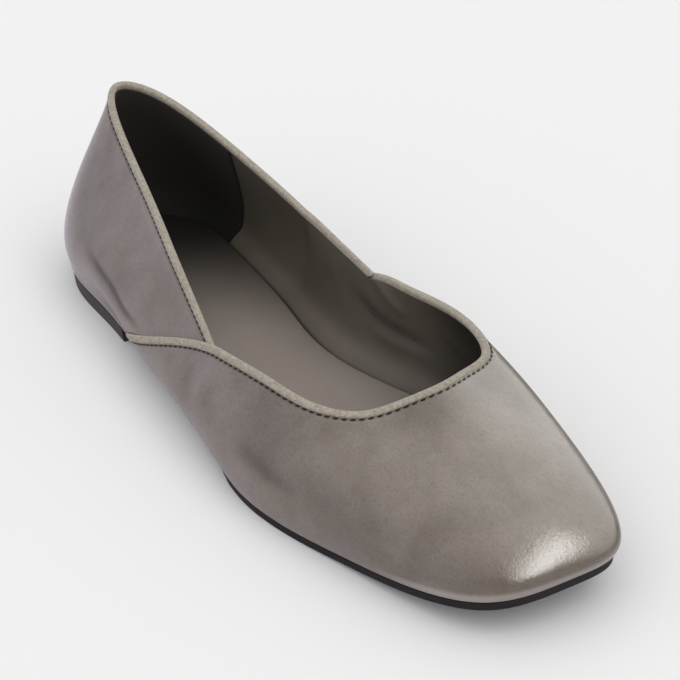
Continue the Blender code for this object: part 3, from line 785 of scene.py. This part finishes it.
# A leather panel: p runs between two edges and s from the sole up to the band, the outside
# less its folds and seams, the inside one thickness further in; the lowest part turns under
# the foot on a small radius
def panelRings(place, columns, rows, lapped, folds, seam):
    u = packedRows(columns, **wall["packAlong"])
    share = packedRows(rows, **wall["packUp"])
    s = rimShare(place(u, np.ones_like(u)), underBand)[:, None] * share
    p = place(np.repeat(u[:, None], rows, axis=1), s)
    normals = skinNormal(p, s)
    lap = lapShare(p, s) * (1.0 - flushShare(p, s)) if lapped else np.zeros_like(s)
    plain = skin(p, s) - normals * (wall["lapStep"] * lap)[..., None]
    depth, shade = foldMarks(plain, folds)
    seamed = seamDip(plain, seam)
    sunk = depth * smoothStep(share / wall["foldsFrom"]) + seamed
    outside = plain - normals * sunk[..., None]
    radius = wall["featherRound"]
    height = outside[..., 2] - soleTop(outside[..., 0]) - last["gap"]
    under = radius - np.sqrt(radius ** 2 - (radius - np.clip(height, 0.0, radius)) ** 2)
    atHeel = 1.0 - rampBetween(outside[..., 0], wall["heelEnds"])
    lowest = 1.0 - smoothStep(height / wall["settleOver"])
    under = under * (1.0 - atHeel) - wall["heelProud"] * atHeel * lowest
    turnIn = lift(outward(p), np.zeros_like(s)) * under[..., None]
    outside = outside - turnIn
    settle = wall["settle"] + (wall["heelSettle"] - wall["settle"]) * atHeel
    outside[..., 2] -= settle * lowest
    thick = wall["leather"] + (wall["skivedLeather"] - wall["leather"]) * lap
    inside = plain - normals * thick[..., None] - turnIn
    rings = np.concatenate([outside, inside[:, ::-1]], axis=1)
    # Painted shade along the folds and in the seam's trough
    tone = np.clip(shade + stitches["shade"] * seamed / stitches["dip"], 0.0, 1.0)
    # Painted reflection of the floor low along the sole, with painted shade above it at the toe
    tone = tone + edgeTone(outside[..., 0], height)
    tone = np.concatenate([tone, np.zeros_like(tone)], axis=1)
    return rings, tone


edgeLightAndShade = {
    "toe": (204.0, 236.0),    # along the foot
    "toePale": 0.6,
    "sidePale": 0.08,
    "paleHeight": (1.2, 3.2),     # up from the sole
    "toeDark": 0.17,
    "darkHeight": 5.4,
    "darkSpread": 2.2,
}


# Tone along the sole: a lighter painted reflection of the floor low on the edge, most at the toe,
# with a band of painted shade above it there; the band is a bell curve of the height
def edgeTone(x, height):
    toe = rampBetween(x, edgeLightAndShade["toe"])
    pale = edgeLightAndShade["sidePale"] + (edgeLightAndShade["toePale"] - edgeLightAndShade["sidePale"]) * toe
    pale = pale * (1.0 - rampBetween(height, edgeLightAndShade["paleHeight"]))
    dark = edgeLightAndShade["toeDark"] * bell(height - edgeLightAndShade["darkHeight"], edgeLightAndShade["darkSpread"])
    return dark * toe - pale


def panelPiece(name, rings, tone, material, closed=False):
    quads = ringQuads(rings.shape[0], rings.shape[1], closed)
    return makePiece(name, rings.reshape(-1, 3), quads, material, tone)


# Shade along the throat: a bell curve of the distance to its seam, from the sides forward
def throatShade(points, seam, look):
    away = np.min(np.linalg.norm(points[..., None, :] - seam[::stitches["coarse"]], axis=-1), axis=-1)
    return (look["throatShade"] * bell(away, look["throatWidth"])
            * rampBetween(points[..., 0], look["throatFrom"]))


# Vamp: the front panel, from edge to edge round the toe
def makeVamp():
    look = {
        "columns": 430,
        "rows": 66,
        "throatShade": 0.18,
        "throatWidth": 9.0,
        "throatFrom": (135.0, 158.0),   # along the foot
    }

    def place(u, s):
        low = edgePlace("outer", s, underBand)
        high = edgePlace("inner", s, underBand)
        return low + (high - low) * u
    seam = skin(*vampSeam)
    rings, tone = panelRings(place, look["columns"], look["rows"], False, vampFolds, seam)
    tone = tone + throatShade(rings, seam, look)
    piece = panelPiece("vamp", rings, tone, upperLeather)
    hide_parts("upper")


# Quarter: the back panel, from under the vamp round the heel to under it again
def makeQuarter():
    look = {"columns": 330, "rows": 66, "under": 7.0}   # how far it runs in below the vamp

    def place(u, s):
        low = edgePlace("inner", s, look["under"])
        high = 1.0 + edgePlace("outer", s, look["under"])
        return low + (high - low) * u
    seam = quarterSkin(*collarSeam)
    rings, tone = panelRings(place, look["columns"], look["rows"], True, quarterFolds, seam)
    piece = panelPiece("quarter", rings, tone, upperLeather)


# Inside of the wall at some depth: below the skin, but turning in flat towards the insole
def insidePoints(p, s, share, extra):
    normals = skinNormal(p, s)
    turn = (np.clip(1.0 - share / wall["lastingShare"], 0.0, 1.0) ** 2)[..., None]
    inward = -unit(normals * (1.0 - turn) + lift(outward(p), np.zeros_like(s)) * turn)
    depth = (wall["whole"] + wall["lapLining"] * lapShare(p, s))[..., None]
    return skin(p, s) + inward * (depth * (1.0 - turn) + wall["lasting"] * turn + extra)


# Lining: the inside of the wall all round, its face and its back as one closed band
def makeLining():
    look = {
        "columns": 420,
        "rows": 90,
        "crease": 0.032,          # painted shade: dark share of the height beside the sock
        "shadeFrom": (0.07, 0.2),   # painted shade above this, a lighter turn-in below it
        "shade": 0.3,
        "darkTop": 0.12,
        "front": (138.0, 166.0),    # under the throat, along the foot
        "frontDark": 0.5,
    }
    p = np.linspace(0.0, 1.0, look["columns"], endpoint=False)
    share = np.linspace(0.0, 1.0, look["rows"])
    s = rimShare(p, underBand)[:, None] * share
    p = np.repeat(p[:, None], look["rows"], axis=1)
    share = np.repeat(share[None], look["columns"], axis=0)
    depth, shade = foldMarks(skin(p, s), liningFolds)
    within = insidePoints(p, s, share, depth[..., None])
    rings = np.concatenate([within, insidePoints(p, s, share, -wall["lining"])[:, ::-1]], axis=1)
    # The tone is painted shade: a dark line by the sock, more up the wall, at the top and under the throat
    tone = (1.0 - smoothStep(share / look["crease"])
            + look["shade"] * rampBetween(share, look["shadeFrom"])
            + look["darkTop"] * smoothStep(share)
            + look["frontDark"] * rampBetween(within[..., 0], look["front"]))
    tone = np.clip(shade + tone, 0.0, 1.0)
    tone = np.concatenate([tone, tone[:, ::-1]], axis=1)
    piece = panelPiece("lining", rings, tone, frontLiningLeather, closed=True)


# Heel lining: a panel laid on the lining from seam to seam, its ends hooked back at the sock
def makeHeelLining():
    look = {
        "columns": 150,
        "rows": 44,
        "lowest": 0.02,       # share of the height
        "front": 0.4,         # its two faces, in from the lining's
        "back": 0.05,
        "innerSeam": 0.8915,  # places round the outline
        "outerSeam": 0.1115,
        "hook": 0.0065,
        "hookShare": 0.2,
        "darkShare": 0.8,
        "darkest": 0.9,
        "seam": 0.012,        # dark stitched edge, as a share of the panel's length
    }
    u = np.linspace(0.0, 1.0, look["columns"])
    share = np.linspace(look["lowest"], 1.0, look["rows"])
    hook = look["hook"] * (1.0 - smoothStep(share / look["hookShare"]))
    low = look["innerSeam"] + hook
    high = 1.0 + look["outerSeam"] - hook
    p = low + (high - low) * u[:, None]
    s = rimShare(p[:, -1], underBand)[:, None] * share
    share = np.repeat(share[None], look["columns"], axis=0)
    rings = np.concatenate([insidePoints(p, s, share, look["front"]),
                            insidePoints(p, s, share, look["back"])[:, ::-1]], axis=1)
    # Painted shade: the panel darkens down towards the sock
    tone = look["darkest"] * (1.0 - smoothStep(share / look["darkShare"]))
    tone[np.minimum(u, 1.0 - u) < look["seam"]] = 1.0
    tone = np.concatenate([tone, tone[:, ::-1]], axis=1)
    piece = panelPiece("heel_lining", rings, tone, heelLiningLeather)


# A band: a squared oval carried along a run over the skin, its two ends rounded off or cut
# aslant by trims, each the angle at which the band meets another
def bandRings(run, inner, outer, trims=None):
    path, p, s = run
    lengths = chordSums(path)
    along = unit(np.gradient(path, axis=0))
    beside = unit(np.cross(skinNormal(p, s), along))
    through = np.cross(along, beside)
    angle = np.linspace(0.0, 2 * np.pi, binding["roundSteps"], endpoint=False)
    power = 2.0 / binding["squareness"]
    wide = np.sign(np.cos(angle)) * np.abs(np.cos(angle)) ** power * halfBand
    deep = np.sign(np.sin(angle)) * np.abs(np.sin(angle)) ** power
    start = np.zeros_like(wide)
    end = np.full_like(wide, lengths[-1])
    if trims is not None:
        overlap = binding["overlap"]
        start = (overlap - wide * np.cos(trims[0])) / np.sin(trims[0])
        end = lengths[-1] - (overlap - wide * np.cos(trims[1])) / np.sin(trims[1])
    at = start + (end - start) * packedRows(binding["steps"], **binding["pack"])[:, None]
    scale = np.ones_like(at)
    if trims is None:
        fromEnd = np.clip(np.minimum(at, lengths[-1] - at) / binding["endRound"], 0.0, 1.0)
        scale = np.sqrt(1.0 - (1.0 - fromEnd) ** 2)
    middle = np.interp(at, lengths, 0.5 * (inner + outer))
    half = np.interp(at, lengths, 0.5 * (outer - inner))
    return (readAt(lengths, path, at) + (wide * scale)[..., None] * readAt(lengths, beside, at)
            + (middle + deep * half * scale)[..., None] * readAt(lengths, through, at))


def bandPiece(name, rings, node):
    quads = ringQuads(rings.shape[0], rings.shape[1])
    piece = makePiece(name, rings.reshape(-1, 3), quads, bindingSuede)
    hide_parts(node)


# Vamp's band: on the edge it lies on the quarter, and round the throat it wraps the wall
def makeVampBinding():
    run = vampRun()
    p = run[1]
    fromJoint = np.minimum(p - outerJoint, innerJoint - p)
    wrap = smoothStep(fromJoint / binding["wrapRun"] + binding["wrapStart"])
    inner = -wall["lapStep"] * (1.0 - wrap) - binding["depth"] * wrap
    rings = bandRings(run, inner, np.full_like(p, binding["proud"]))
    bandPiece("vamp_band", rings, "vamp_binding")


# Angle between the collar and the vamp's edge where they meet
def jointAngle(side, joint, away):
    ends = np.array([joint, joint + away])
    collar = topline(ends)
    heights = np.array([1.0, binding["edgeTop"]])
    edge = skin(edgePlace(side, heights, 0.0), heights)
    return np.arccos((unit(collar[1] - collar[0]) * unit(edge[1] - edge[0])).sum())


# Collar's band: it wraps the wall, lower where the vamp laps it, and ends under the vamp's band
def makeCollarBinding():
    run = collarRun()
    p = run[1]
    away = np.minimum(p - innerJoint, 1.0 + outerJoint - p)
    lap = 1.0 - smoothStep(away / wall["lapFade"])
    inner = -(binding["depth"] + wall["lapLining"] * lap)
    outer = binding["proud"] - wall["lapStep"] * lap
    reach = 0.5 * last["jointSoftness"]
    trims = (jointAngle("inner", innerJoint, reach), jointAngle("outer", outerJoint, -reach))
    bandPiece("collar_band", bandRings(run, inner, outer, trims), "collar_binding")


# Stitches: short capsules along a seam, each bowed up in its middle and sunk at its ends
def stitchRings(surface, run):
    p, s = run
    path = surface(p, s)
    lengths = chordSums(path)
    normals = skinNormal(p, s)
    along = unit(np.gradient(path, axis=0))
    at = np.arange(0.5, int(lengths[-1] / stitches["pitch"])) * stitches["pitch"]
    centre = readAt(lengths, path, at)[:, None, None]
    up = unit(readAt(lengths, normals, at))[:, None, None]
    ahead = unit(readAt(lengths, along, at))[:, None, None]
    side = np.cross(up, ahead)
    turned = ahead * math.cos(stitches["slant"]) + side * math.sin(stitches["slant"])
    side = np.cross(up, turned)
    t = np.linspace(-1.0, 1.0, stitches["steps"])[:, None, None]
    angle = np.linspace(0.0, 2 * np.pi, stitches["sides"], endpoint=False)[:, None]
    thick = stitches["radius"] * np.sqrt(np.clip(1.0 - np.abs(t) ** stitches["bluntness"], 0.0, 1.0))
    height = stitches["rise"] * (1.0 - t * t) - stitches["sink"] - stitches["dip"] * 0.5
    return (centre + turned * t * 0.5 * stitches["length"]
            + up * (height + thick * np.cos(angle)) + side * thick * np.sin(angle))


def makeStitches(name, surface, run):
    rings = stitchRings(surface, run)
    count, steps, size = rings.shape[:3]
    one = ringQuads(steps, size, caps=False)
    quads = (one[None] + (np.arange(count) * steps * size)[:, None, None]).reshape(-1, 4)
    piece = makePiece(name, rings.reshape(-1, 3), quads, thread)


# Sole pieces: closed rings across the foot, each row an outline set in by some millimetres

slab = {
    "outlineSamples": 1440,
    "stations": 200,          # along the foot
    "roundSteps": 6,          # rows in each rounded edge
    "sharpAngle": 40.0,
}


# The feather edge in plan, moved in square to itself
def outlineAt(inset):
    p = np.linspace(0.0, 1.0, slab["outlineSamples"], endpoint=False)
    plan = feather(p)
    return plan - outward(p) * inset(plan[:, 0])[:, None]


# Outer and inner half of such an outline, both read at the same stations along the foot
def halfLines(inset, spread):
    points = outlineAt(inset)
    points = np.roll(points, -int(np.argmin(points[:, 0])), axis=0)
    tip = int(np.argmax(points[:, 0]))
    outer = points[:tip + 1]
    inner = np.vstack([points[tip:], points[:1]])[::-1]
    x = outer[0, 0] + (outer[-1, 0] - outer[0, 0]) * spread
    outerY = np.interp(x, np.maximum.accumulate(outer[:, 0]), outer[:, 1])
    innerY = np.interp(x, np.maximum.accumulate(inner[:, 0]), inner[:, 1])
    return x, outerY, innerY


# Rings of a slab: down the outer side's rows, across below, up the inner side's rows and
# back across the top, where the middle may be dished
def slabRings(rows, spread, across, dish=0.0):
    lines = [(*halfLines(inset, spread), height) for inset, height in rows]
    outer = np.stack([np.stack([x, low, height(x)], axis=-1) for x, low, high, height in lines], axis=1)
    inner = np.stack([np.stack([x, high, height(x)], axis=-1) for x, low, high, height in lines], axis=1)
    share = np.linspace(0.0, 1.0, across + 2)[1:-1, None]
    below = outer[:, -1:] + (inner[:, -1:] - outer[:, -1:]) * share
    above = inner[:, :1] + (outer[:, :1] - inner[:, :1]) * share
    above[..., 2] -= dish * (1.0 - (2.0 * share[:, 0] - 1.0) ** 2)
    return np.concatenate([outer, below, inner[:, ::-1], above], axis=1)


# Rows round a slab's edge, as insets and heights: a quarter circle at the top, then one below
def edgeRows(top, bottom, topRound, bottomRound, upperInset, lowerInset):
    turns = np.linspace(0.0, 0.5 * np.pi, slab["roundSteps"])
    rows = [(lambda x, a=a: upperInset(x) + topRound(x) * (1.0 - math.sin(a)),
             lambda x, a=a: top(x) - topRound(x) * (1.0 - math.cos(a))) for a in turns]
    rows += [(lambda x, a=a: lowerInset(x) + bottomRound(x) * (1.0 - math.cos(a)),
              lambda x, a=a: bottom(x) + bottomRound(x) * (1.0 - math.sin(a))) for a in turns]
    return rows


# One size all along the foot
def even(size):
    return lambda x: np.full_like(x, size)


# Shares of the length, closer at both ends: half of one less the cosine
def roundEnds(count):
    return 0.5 - 0.5 * np.cos(np.linspace(0.0, np.pi, count))


def slabPiece(name, rings, material, node, caps=False, tone=None):
    count, size = rings.shape[:2]
    quads = ringQuads(count, size, caps=False)
    if caps:
        quads = np.concatenate([quads, (count - 1) * size + capQuads(size)])
    piece = makePiece(name, rings.reshape(-1, 3), quads, material, tone, slab["sharpAngle"])
    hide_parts(node)


sole = {
    "bevel": 0.3,             # inset of the lower edge
    "waistBevel": 4.0,        # and under the arch,
    "waistFrom": 20.0,        # over these lengths from the heel's front
    "waistTo": 25.0,          # and to the tread
    "topRound": 0.1,
    "heelRound": 0.05,        # lower edge over the heel, which it meets flush
    "lowerRound": 0.5,        # and before it,
    "roundFrom": 6.0,         # over this length
    "across": 4,
}


# Outsole: the whole outline, its lower edge set in further under the waist
def makeOutsole():
    breast = heelBlock["breastAt"]

    def lowerInset(x):
        waist = smoothStep((x - breast) / sole["waistFrom"])
        waist = waist * smoothStep((last["treadStart"] - x) / sole["waistTo"])
        return sole["bevel"] + (sole["waistBevel"] - sole["bevel"]) * waist

    def lowerRound(x):
        front = smoothStep((x - breast) / sole["roundFrom"])
        return sole["heelRound"] + (sole["lowerRound"] - sole["heelRound"]) * front
    rows = edgeRows(soleTop, soleBottom, even(sole["topRound"]), lowerRound, even(0.0), lowerInset)
    rings = slabRings(rows, roundEnds(slab["stations"]), sole["across"])
    slabPiece("sole", rings, soleRubber, "outsole")


sock = {
    "thick": 2.5,
    "dish": 0.6,
    "crease": 0.4,            # dark line left between sock and lining
    "topRound": 0.6,
    "lowerRound": 0.2,
    "across": 24,
    "heelShadeEnds": (26.0, 104.0),    # where the heel's painted shade fades out, along the foot
    "heelDark": 0.92,
    "arch": (-6.0, 24.0),         # painted shade again towards the arch, across the foot,
    "archDark": 0.48,
    "archShadeEnds": (105.0, 150.0),   # and less so forward of this,
    "archFade": 0.75,             # by this share
}


# Insole with its sock: a dished slab inside the lasted edge, its tone painted shade at the heel and towards
# the arch
def makeInsole():
    def bottom(x):
        return soleTop(x) + last["gap"]

    def top(x):
        return bottom(x) + sock["thick"]
    inset = even(wall["lasting"] + last["gap"] + sock["crease"])
    rows = edgeRows(top, bottom, even(sock["topRound"]), even(sock["lowerRound"]), inset, inset)
    rings = slabRings(rows, roundEnds(slab["stations"]), sock["across"], sock["dish"])
    x, y = rings[..., 0], rings[..., 1]
    heelTone = sock["heelDark"] * (1.0 - rampBetween(x, sock["heelShadeEnds"]))
    archTone = (sock["archDark"] * rampBetween(y, sock["arch"])
                * (1.0 - sock["archFade"] * rampBetween(x, sock["archShadeEnds"])))
    tone = 1.0 - (1.0 - heelTone) * (1.0 - archTone)
    slabPiece("sock", rings, sockLeather, "insole", tone=tone)


heelBlock = {
    "breastAt": 62.0,         # front face, along the foot
    "taper": 0.4,
    "topRound": 0.03,
    "lowerRound": 0.4,
    "stations": 90,
    "across": 4,
}


# Heel: the same outline from the floor to the sole, cut off square at its front
def makeHeel():
    share = heelBlock["breastAt"] / last["length"]
    spread = share * (1.0 - np.cos(np.linspace(0.0, 0.5 * np.pi, heelBlock["stations"])))
    rows = edgeRows(soleBottom, np.zeros_like, even(heelBlock["topRound"]), even(heelBlock["lowerRound"]),
                    even(sole["bevel"]), even(sole["bevel"] + heelBlock["taper"]))
    rings = slabRings(rows, spread, heelBlock["across"])
    slabPiece("heel_block", rings, heelRubber, "heel", caps=True)


makeVamp()
makeQuarter()
makeLining()
makeHeelLining()
makeVampBinding()
makeCollarBinding()
makeStitches("vamp_stitches", skin, vampSeam)
makeStitches("collar_stitches", quarterSkin, collarSeam)
makeOutsole()
makeInsole()
makeHeel()
print("shoe done")


# Floor, lights and camera

floorLook = {
    "half": 3.0,              # metres
    "fibre": 2.0,             # millimetres
    "fibreHeight": 0.02,
    "colour": "#e9e9e9",
    "bounce": "#b8b5ba",      # what the shoe gets back from it
    "mirrored": "#d9d2de",    # what the gloss shows of it,
    "archReflection": "#6f6a62",    # painted darker reflection on the arch side,
    "archFrom": (50, 110),    # over these millimetres across the foot
}
# Light by direction in degrees, as radiance to matt surfaces and as mirrored in gloss. A glow
# begins and is full at these cosines of the angle from its middle
studio = {
    "colour": "#ffffff",
    "dome": {"matt": 0.455, "gloss": 0.72},
    "glows": {
        "overhead": {"turn": 120, "tilt": 70, "edge": 0.2, "core": 1.0, "matt": 0.35, "gloss": 0.4},
        "key": {"turn": -60, "tilt": 60, "edge": 0.2, "core": 1.0, "matt": 0.22, "gloss": 0.0},
        "wash": {"turn": 100, "tilt": 28, "edge": 0.1, "core": 1.0, "matt": 0.1, "gloss": 1.15},
        "left": {"turn": -90, "tilt": 12, "edge": 0.1, "core": 0.9, "matt": 0.54, "gloss": -0.25},
    },
    # A cool wall, seen only in gloss, whose upper edge lies between these heights
    "wall": {"turn": -125, "tilt": 10, "edge": 0.1, "core": 0.8, "full": 50, "over": 54,
             "colour": "#8478ff", "gloss": 0.23},
    # Half sizes on a plane at distance 1; rise lifts the middle of the box and bow bends it
    "box": {"turn": 12.6, "tilt": 45.4, "roll": 42, "wide": 0.84, "high": 0.46, "rise": 0.14,
            "taper": -0.34, "bow": -0.2, "edge": 0.86, "front": (0.1, 0.3),
            "fade": 0.88, "fadeFrom": -0.6, "fadeTo": 0.7, "matt": 1.2, "gloss": 11.0},
}
shot = {
    "at": (552.7, -257.8, 334.8),      # shoe millimetres
    "aim": (133.0, 7.5, 22.7),
    "roll": -1.73,                     # degrees
    "lens": 104.4,                     # millimetres, on this width of sensor
    "sensor": 36.0,
    "nearest": 0.01,                   # metres
}


# Background paper, matt, with a faint fibre. It is a flat square; what it sends back to the
# shoe is toned apart from what the camera sees
def makeFloor():
    half = floorLook["half"]
    mesh = bpy.data.meshes.new("floor")
    mesh.from_pydata([(-half, -half, 0), (half, -half, 0), (half, half, 0), (-half, half, 0)],
                     [], [(0, 1, 2, 3)])
    material, tree, coords = startMaterial("floor_paper")
    fibre = addNode(tree, "TexNoise", {"Vector": coords, "Scale": perMetre(floorLook["fibre"]),
                                       "Detail": 3.0})
    bump = addNode(tree, "Bump", {"Height": fibre, "Strength": 0.05,
                                  "Distance": floorLook["fibreHeight"] * mm})
    ray = addNode(tree, "LightPath").outputs
    start, end = floorLook["archFrom"]
    across = addNode(tree, "SeparateXYZ", {"Vector": coords}).outputs["Y"]
    atArch = addNode(tree, "MapRange", {"Value": across, "From Min": start * mm, "From Max": end * mm},
                     interpolation_type="SMOOTHSTEP")
    mirrored = addNode(tree, "Mix", {"Factor": atArch, "A": hexColour(floorLook["mirrored"]),
                                     "B": hexColour(floorLook["archReflection"])}, data_type="RGBA")
    lit = addNode(tree, "Mix", {"Factor": ray["Is Glossy Ray"], "A": hexColour(floorLook["bounce"]),
                                "B": mirrored}, data_type="RGBA")
    paper = addNode(tree, "Mix", {"Factor": ray["Is Camera Ray"], "A": lit,
                                  "B": hexColour(floorLook["colour"])}, data_type="RGBA")
    shader = addNode(tree, "BsdfPrincipled", {
        "Base Color": paper, "Roughness": 0.9, "Specular IOR Level": 0.1, "Normal": bump})
    addNode(tree, "OutputMaterial", {"Surface": shader})
    mesh.materials.append(material)
    floor = bpy.data.objects.new("floor", mesh)
    bpy.context.scene.collection.objects.link(floor)


# Direction of so many degrees round from +x and up from the floor
def wayOf(turn, tilt):
    a, e = math.radians(turn), math.radians(tilt)
    return Vector((math.cos(e) * math.cos(a), math.cos(e) * math.sin(a), math.sin(e)))


# A round glow: a smooth step of the cosine of the angle from its middle
def glowAmount(tree, way, glow):
    middle = wayOf(glow["turn"], glow["tilt"])
    facing = addNode(tree, "VectorMath", {0: way, 1: middle}, operation="DOT_PRODUCT")
    return addNode(tree, "MapRange", {"Value": facing, "From Min": glow["edge"], "From Max": glow["core"]},
                   interpolation_type="SMOOTHSTEP")


# One soft box before the toe: an oval on the plane square to its middle, bent by the square of
# the place across and tapered along it, with a crisp lower edge that fades upwards
def boxAmount(tree, way, box):
    middle = wayOf(box["turn"], box["tilt"])
    right = Vector((0, 0, 1)).cross(middle).normalized()
    right = Matrix.Rotation(math.radians(box["roll"]), 3, middle) @ right
    ahead, across, above = (
        addNode(tree, "VectorMath", {0: way, 1: axis}, operation="DOT_PRODUCT")
        for axis in (middle, right / box["wide"], middle.cross(right)))
    across = addNode(tree, "Math", {0: across, 1: ahead}, operation="DIVIDE")
    above = addNode(tree, "Math", {0: above, 1: ahead}, operation="DIVIDE")
    square = addNode(tree, "Math", {0: across, 1: across}, operation="MULTIPLY")
    bent = addNode(tree, "Math", {0: square, 1: box["bow"], 2: box["rise"]}, operation="MULTIPLY_ADD")
    half = addNode(tree, "Math", {0: across, 1: box["taper"] * box["high"], 2: box["high"]},
                   operation="MULTIPLY_ADD")
    raised = addNode(tree, "Math", {0: above, 1: bent}, operation="SUBTRACT")
    level = addNode(tree, "Math", {0: raised, 1: half}, operation="DIVIDE")
    oval = addNode(tree, "Math", {0: level, 1: level, 2: square}, operation="MULTIPLY_ADD")
    inFront = addNode(tree, "MapRange", {"Value": ahead, "From Min": box["front"][0],
                                         "From Max": box["front"][1]}, interpolation_type="SMOOTHSTEP")
    shape = addNode(tree, "MapRange", {"Value": oval, "From Min": 1.0, "From Max": box["edge"],
                                       "To Max": inFront}, interpolation_type="SMOOTHSTEP")
    fade = addNode(tree, "MapRange", {"Value": level, "From Min": box["fadeFrom"], "From Max": box["fadeTo"],
                                      "To Min": 1.0, "To Max": 1.0 - box["fade"]},
                   interpolation_type="SMOOTHSTEP")
    return addNode(tree, "Math", {0: shape, 1: fade}, operation="MULTIPLY")


# The studio round the shoe: a white room with broad glows, one soft box, and a cool wall in the
# gloss of its sides. Each light is its amount times its gain for matt or for glossy rays
def makeLights():
    world = bpy.data.worlds.new("studio")
    world.use_nodes = True
    bpy.context.scene.world = world
    tree = world.node_tree
    tree.nodes.clear()
    way = addNode(tree, "TexCoord").outputs["Generated"]
    mirrored = addNode(tree, "LightPath").outputs["Is Glossy Ray"]
    lights = [(1.0, studio["dome"])]
    lights += [(glowAmount(tree, way, glow), glow) for glow in studio["glows"].values()]
    lights += [(boxAmount(tree, way, studio["box"]), studio["box"])]
    total = 0.0
    for amount, light in lights:
        gain = addNode(tree, "MapRange", {"Value": mirrored, "To Min": light["matt"],
                                          "To Max": light["gloss"]})
        total = addNode(tree, "Math", {0: amount, 1: gain, 2: total}, operation="MULTIPLY_ADD")
    wallLook = studio["wall"]
    height = addNode(tree, "SeparateXYZ", {"Vector": way}).outputs["Z"]
    gain = addNode(tree, "MapRange", {"Value": mirrored, "To Max": wallLook["gloss"]})
    below = addNode(tree, "MapRange", {"Value": height, "From Min": math.sin(math.radians(wallLook["over"])),
                                       "From Max": math.sin(math.radians(wallLook["full"])),
                                       "To Max": gain}, interpolation_type="SMOOTHSTEP")
    wallTotal = addNode(tree, "Math", {0: below, 1: glowAmount(tree, way, wallLook)}, operation="MULTIPLY")
    room = addNode(tree, "Background", {"Color": hexColour(studio["colour"]), "Strength": total})
    cool = addNode(tree, "Background", {"Color": hexColour(wallLook["colour"]), "Strength": wallTotal})
    both = addNode(tree, "AddShader", {0: room, 1: cool})
    addNode(tree, "OutputWorld", {"Surface": both})


# Camera at its place, turned to its aim and rolled about the line of sight
def makeCamera():
    at = Vector(toFrame(shot["at"]))
    back = (at - Vector(toFrame(shot["aim"]))).normalized()
    right = Vector((0, 0, 1)).cross(back).normalized()
    right = Matrix.Rotation(math.radians(shot["roll"]), 3, back) @ right
    up = back.cross(right)
    data = bpy.data.cameras.new("camera")
    data.sensor_width = shot["sensor"]
    data.lens = shot["lens"]
    data.clip_start = shot["nearest"]
    camera = bpy.data.objects.new("camera", data)
    camera.matrix_world = Matrix.Translation(at) @ Matrix((right, up, back)).transposed().to_4x4()
    bpy.context.scene.collection.objects.link(camera)
    bpy.context.scene.camera = camera


makeFloor()
makeLights()
makeCamera()
bpy.context.scene.view_settings.view_transform = "Standard"
print("studio done")
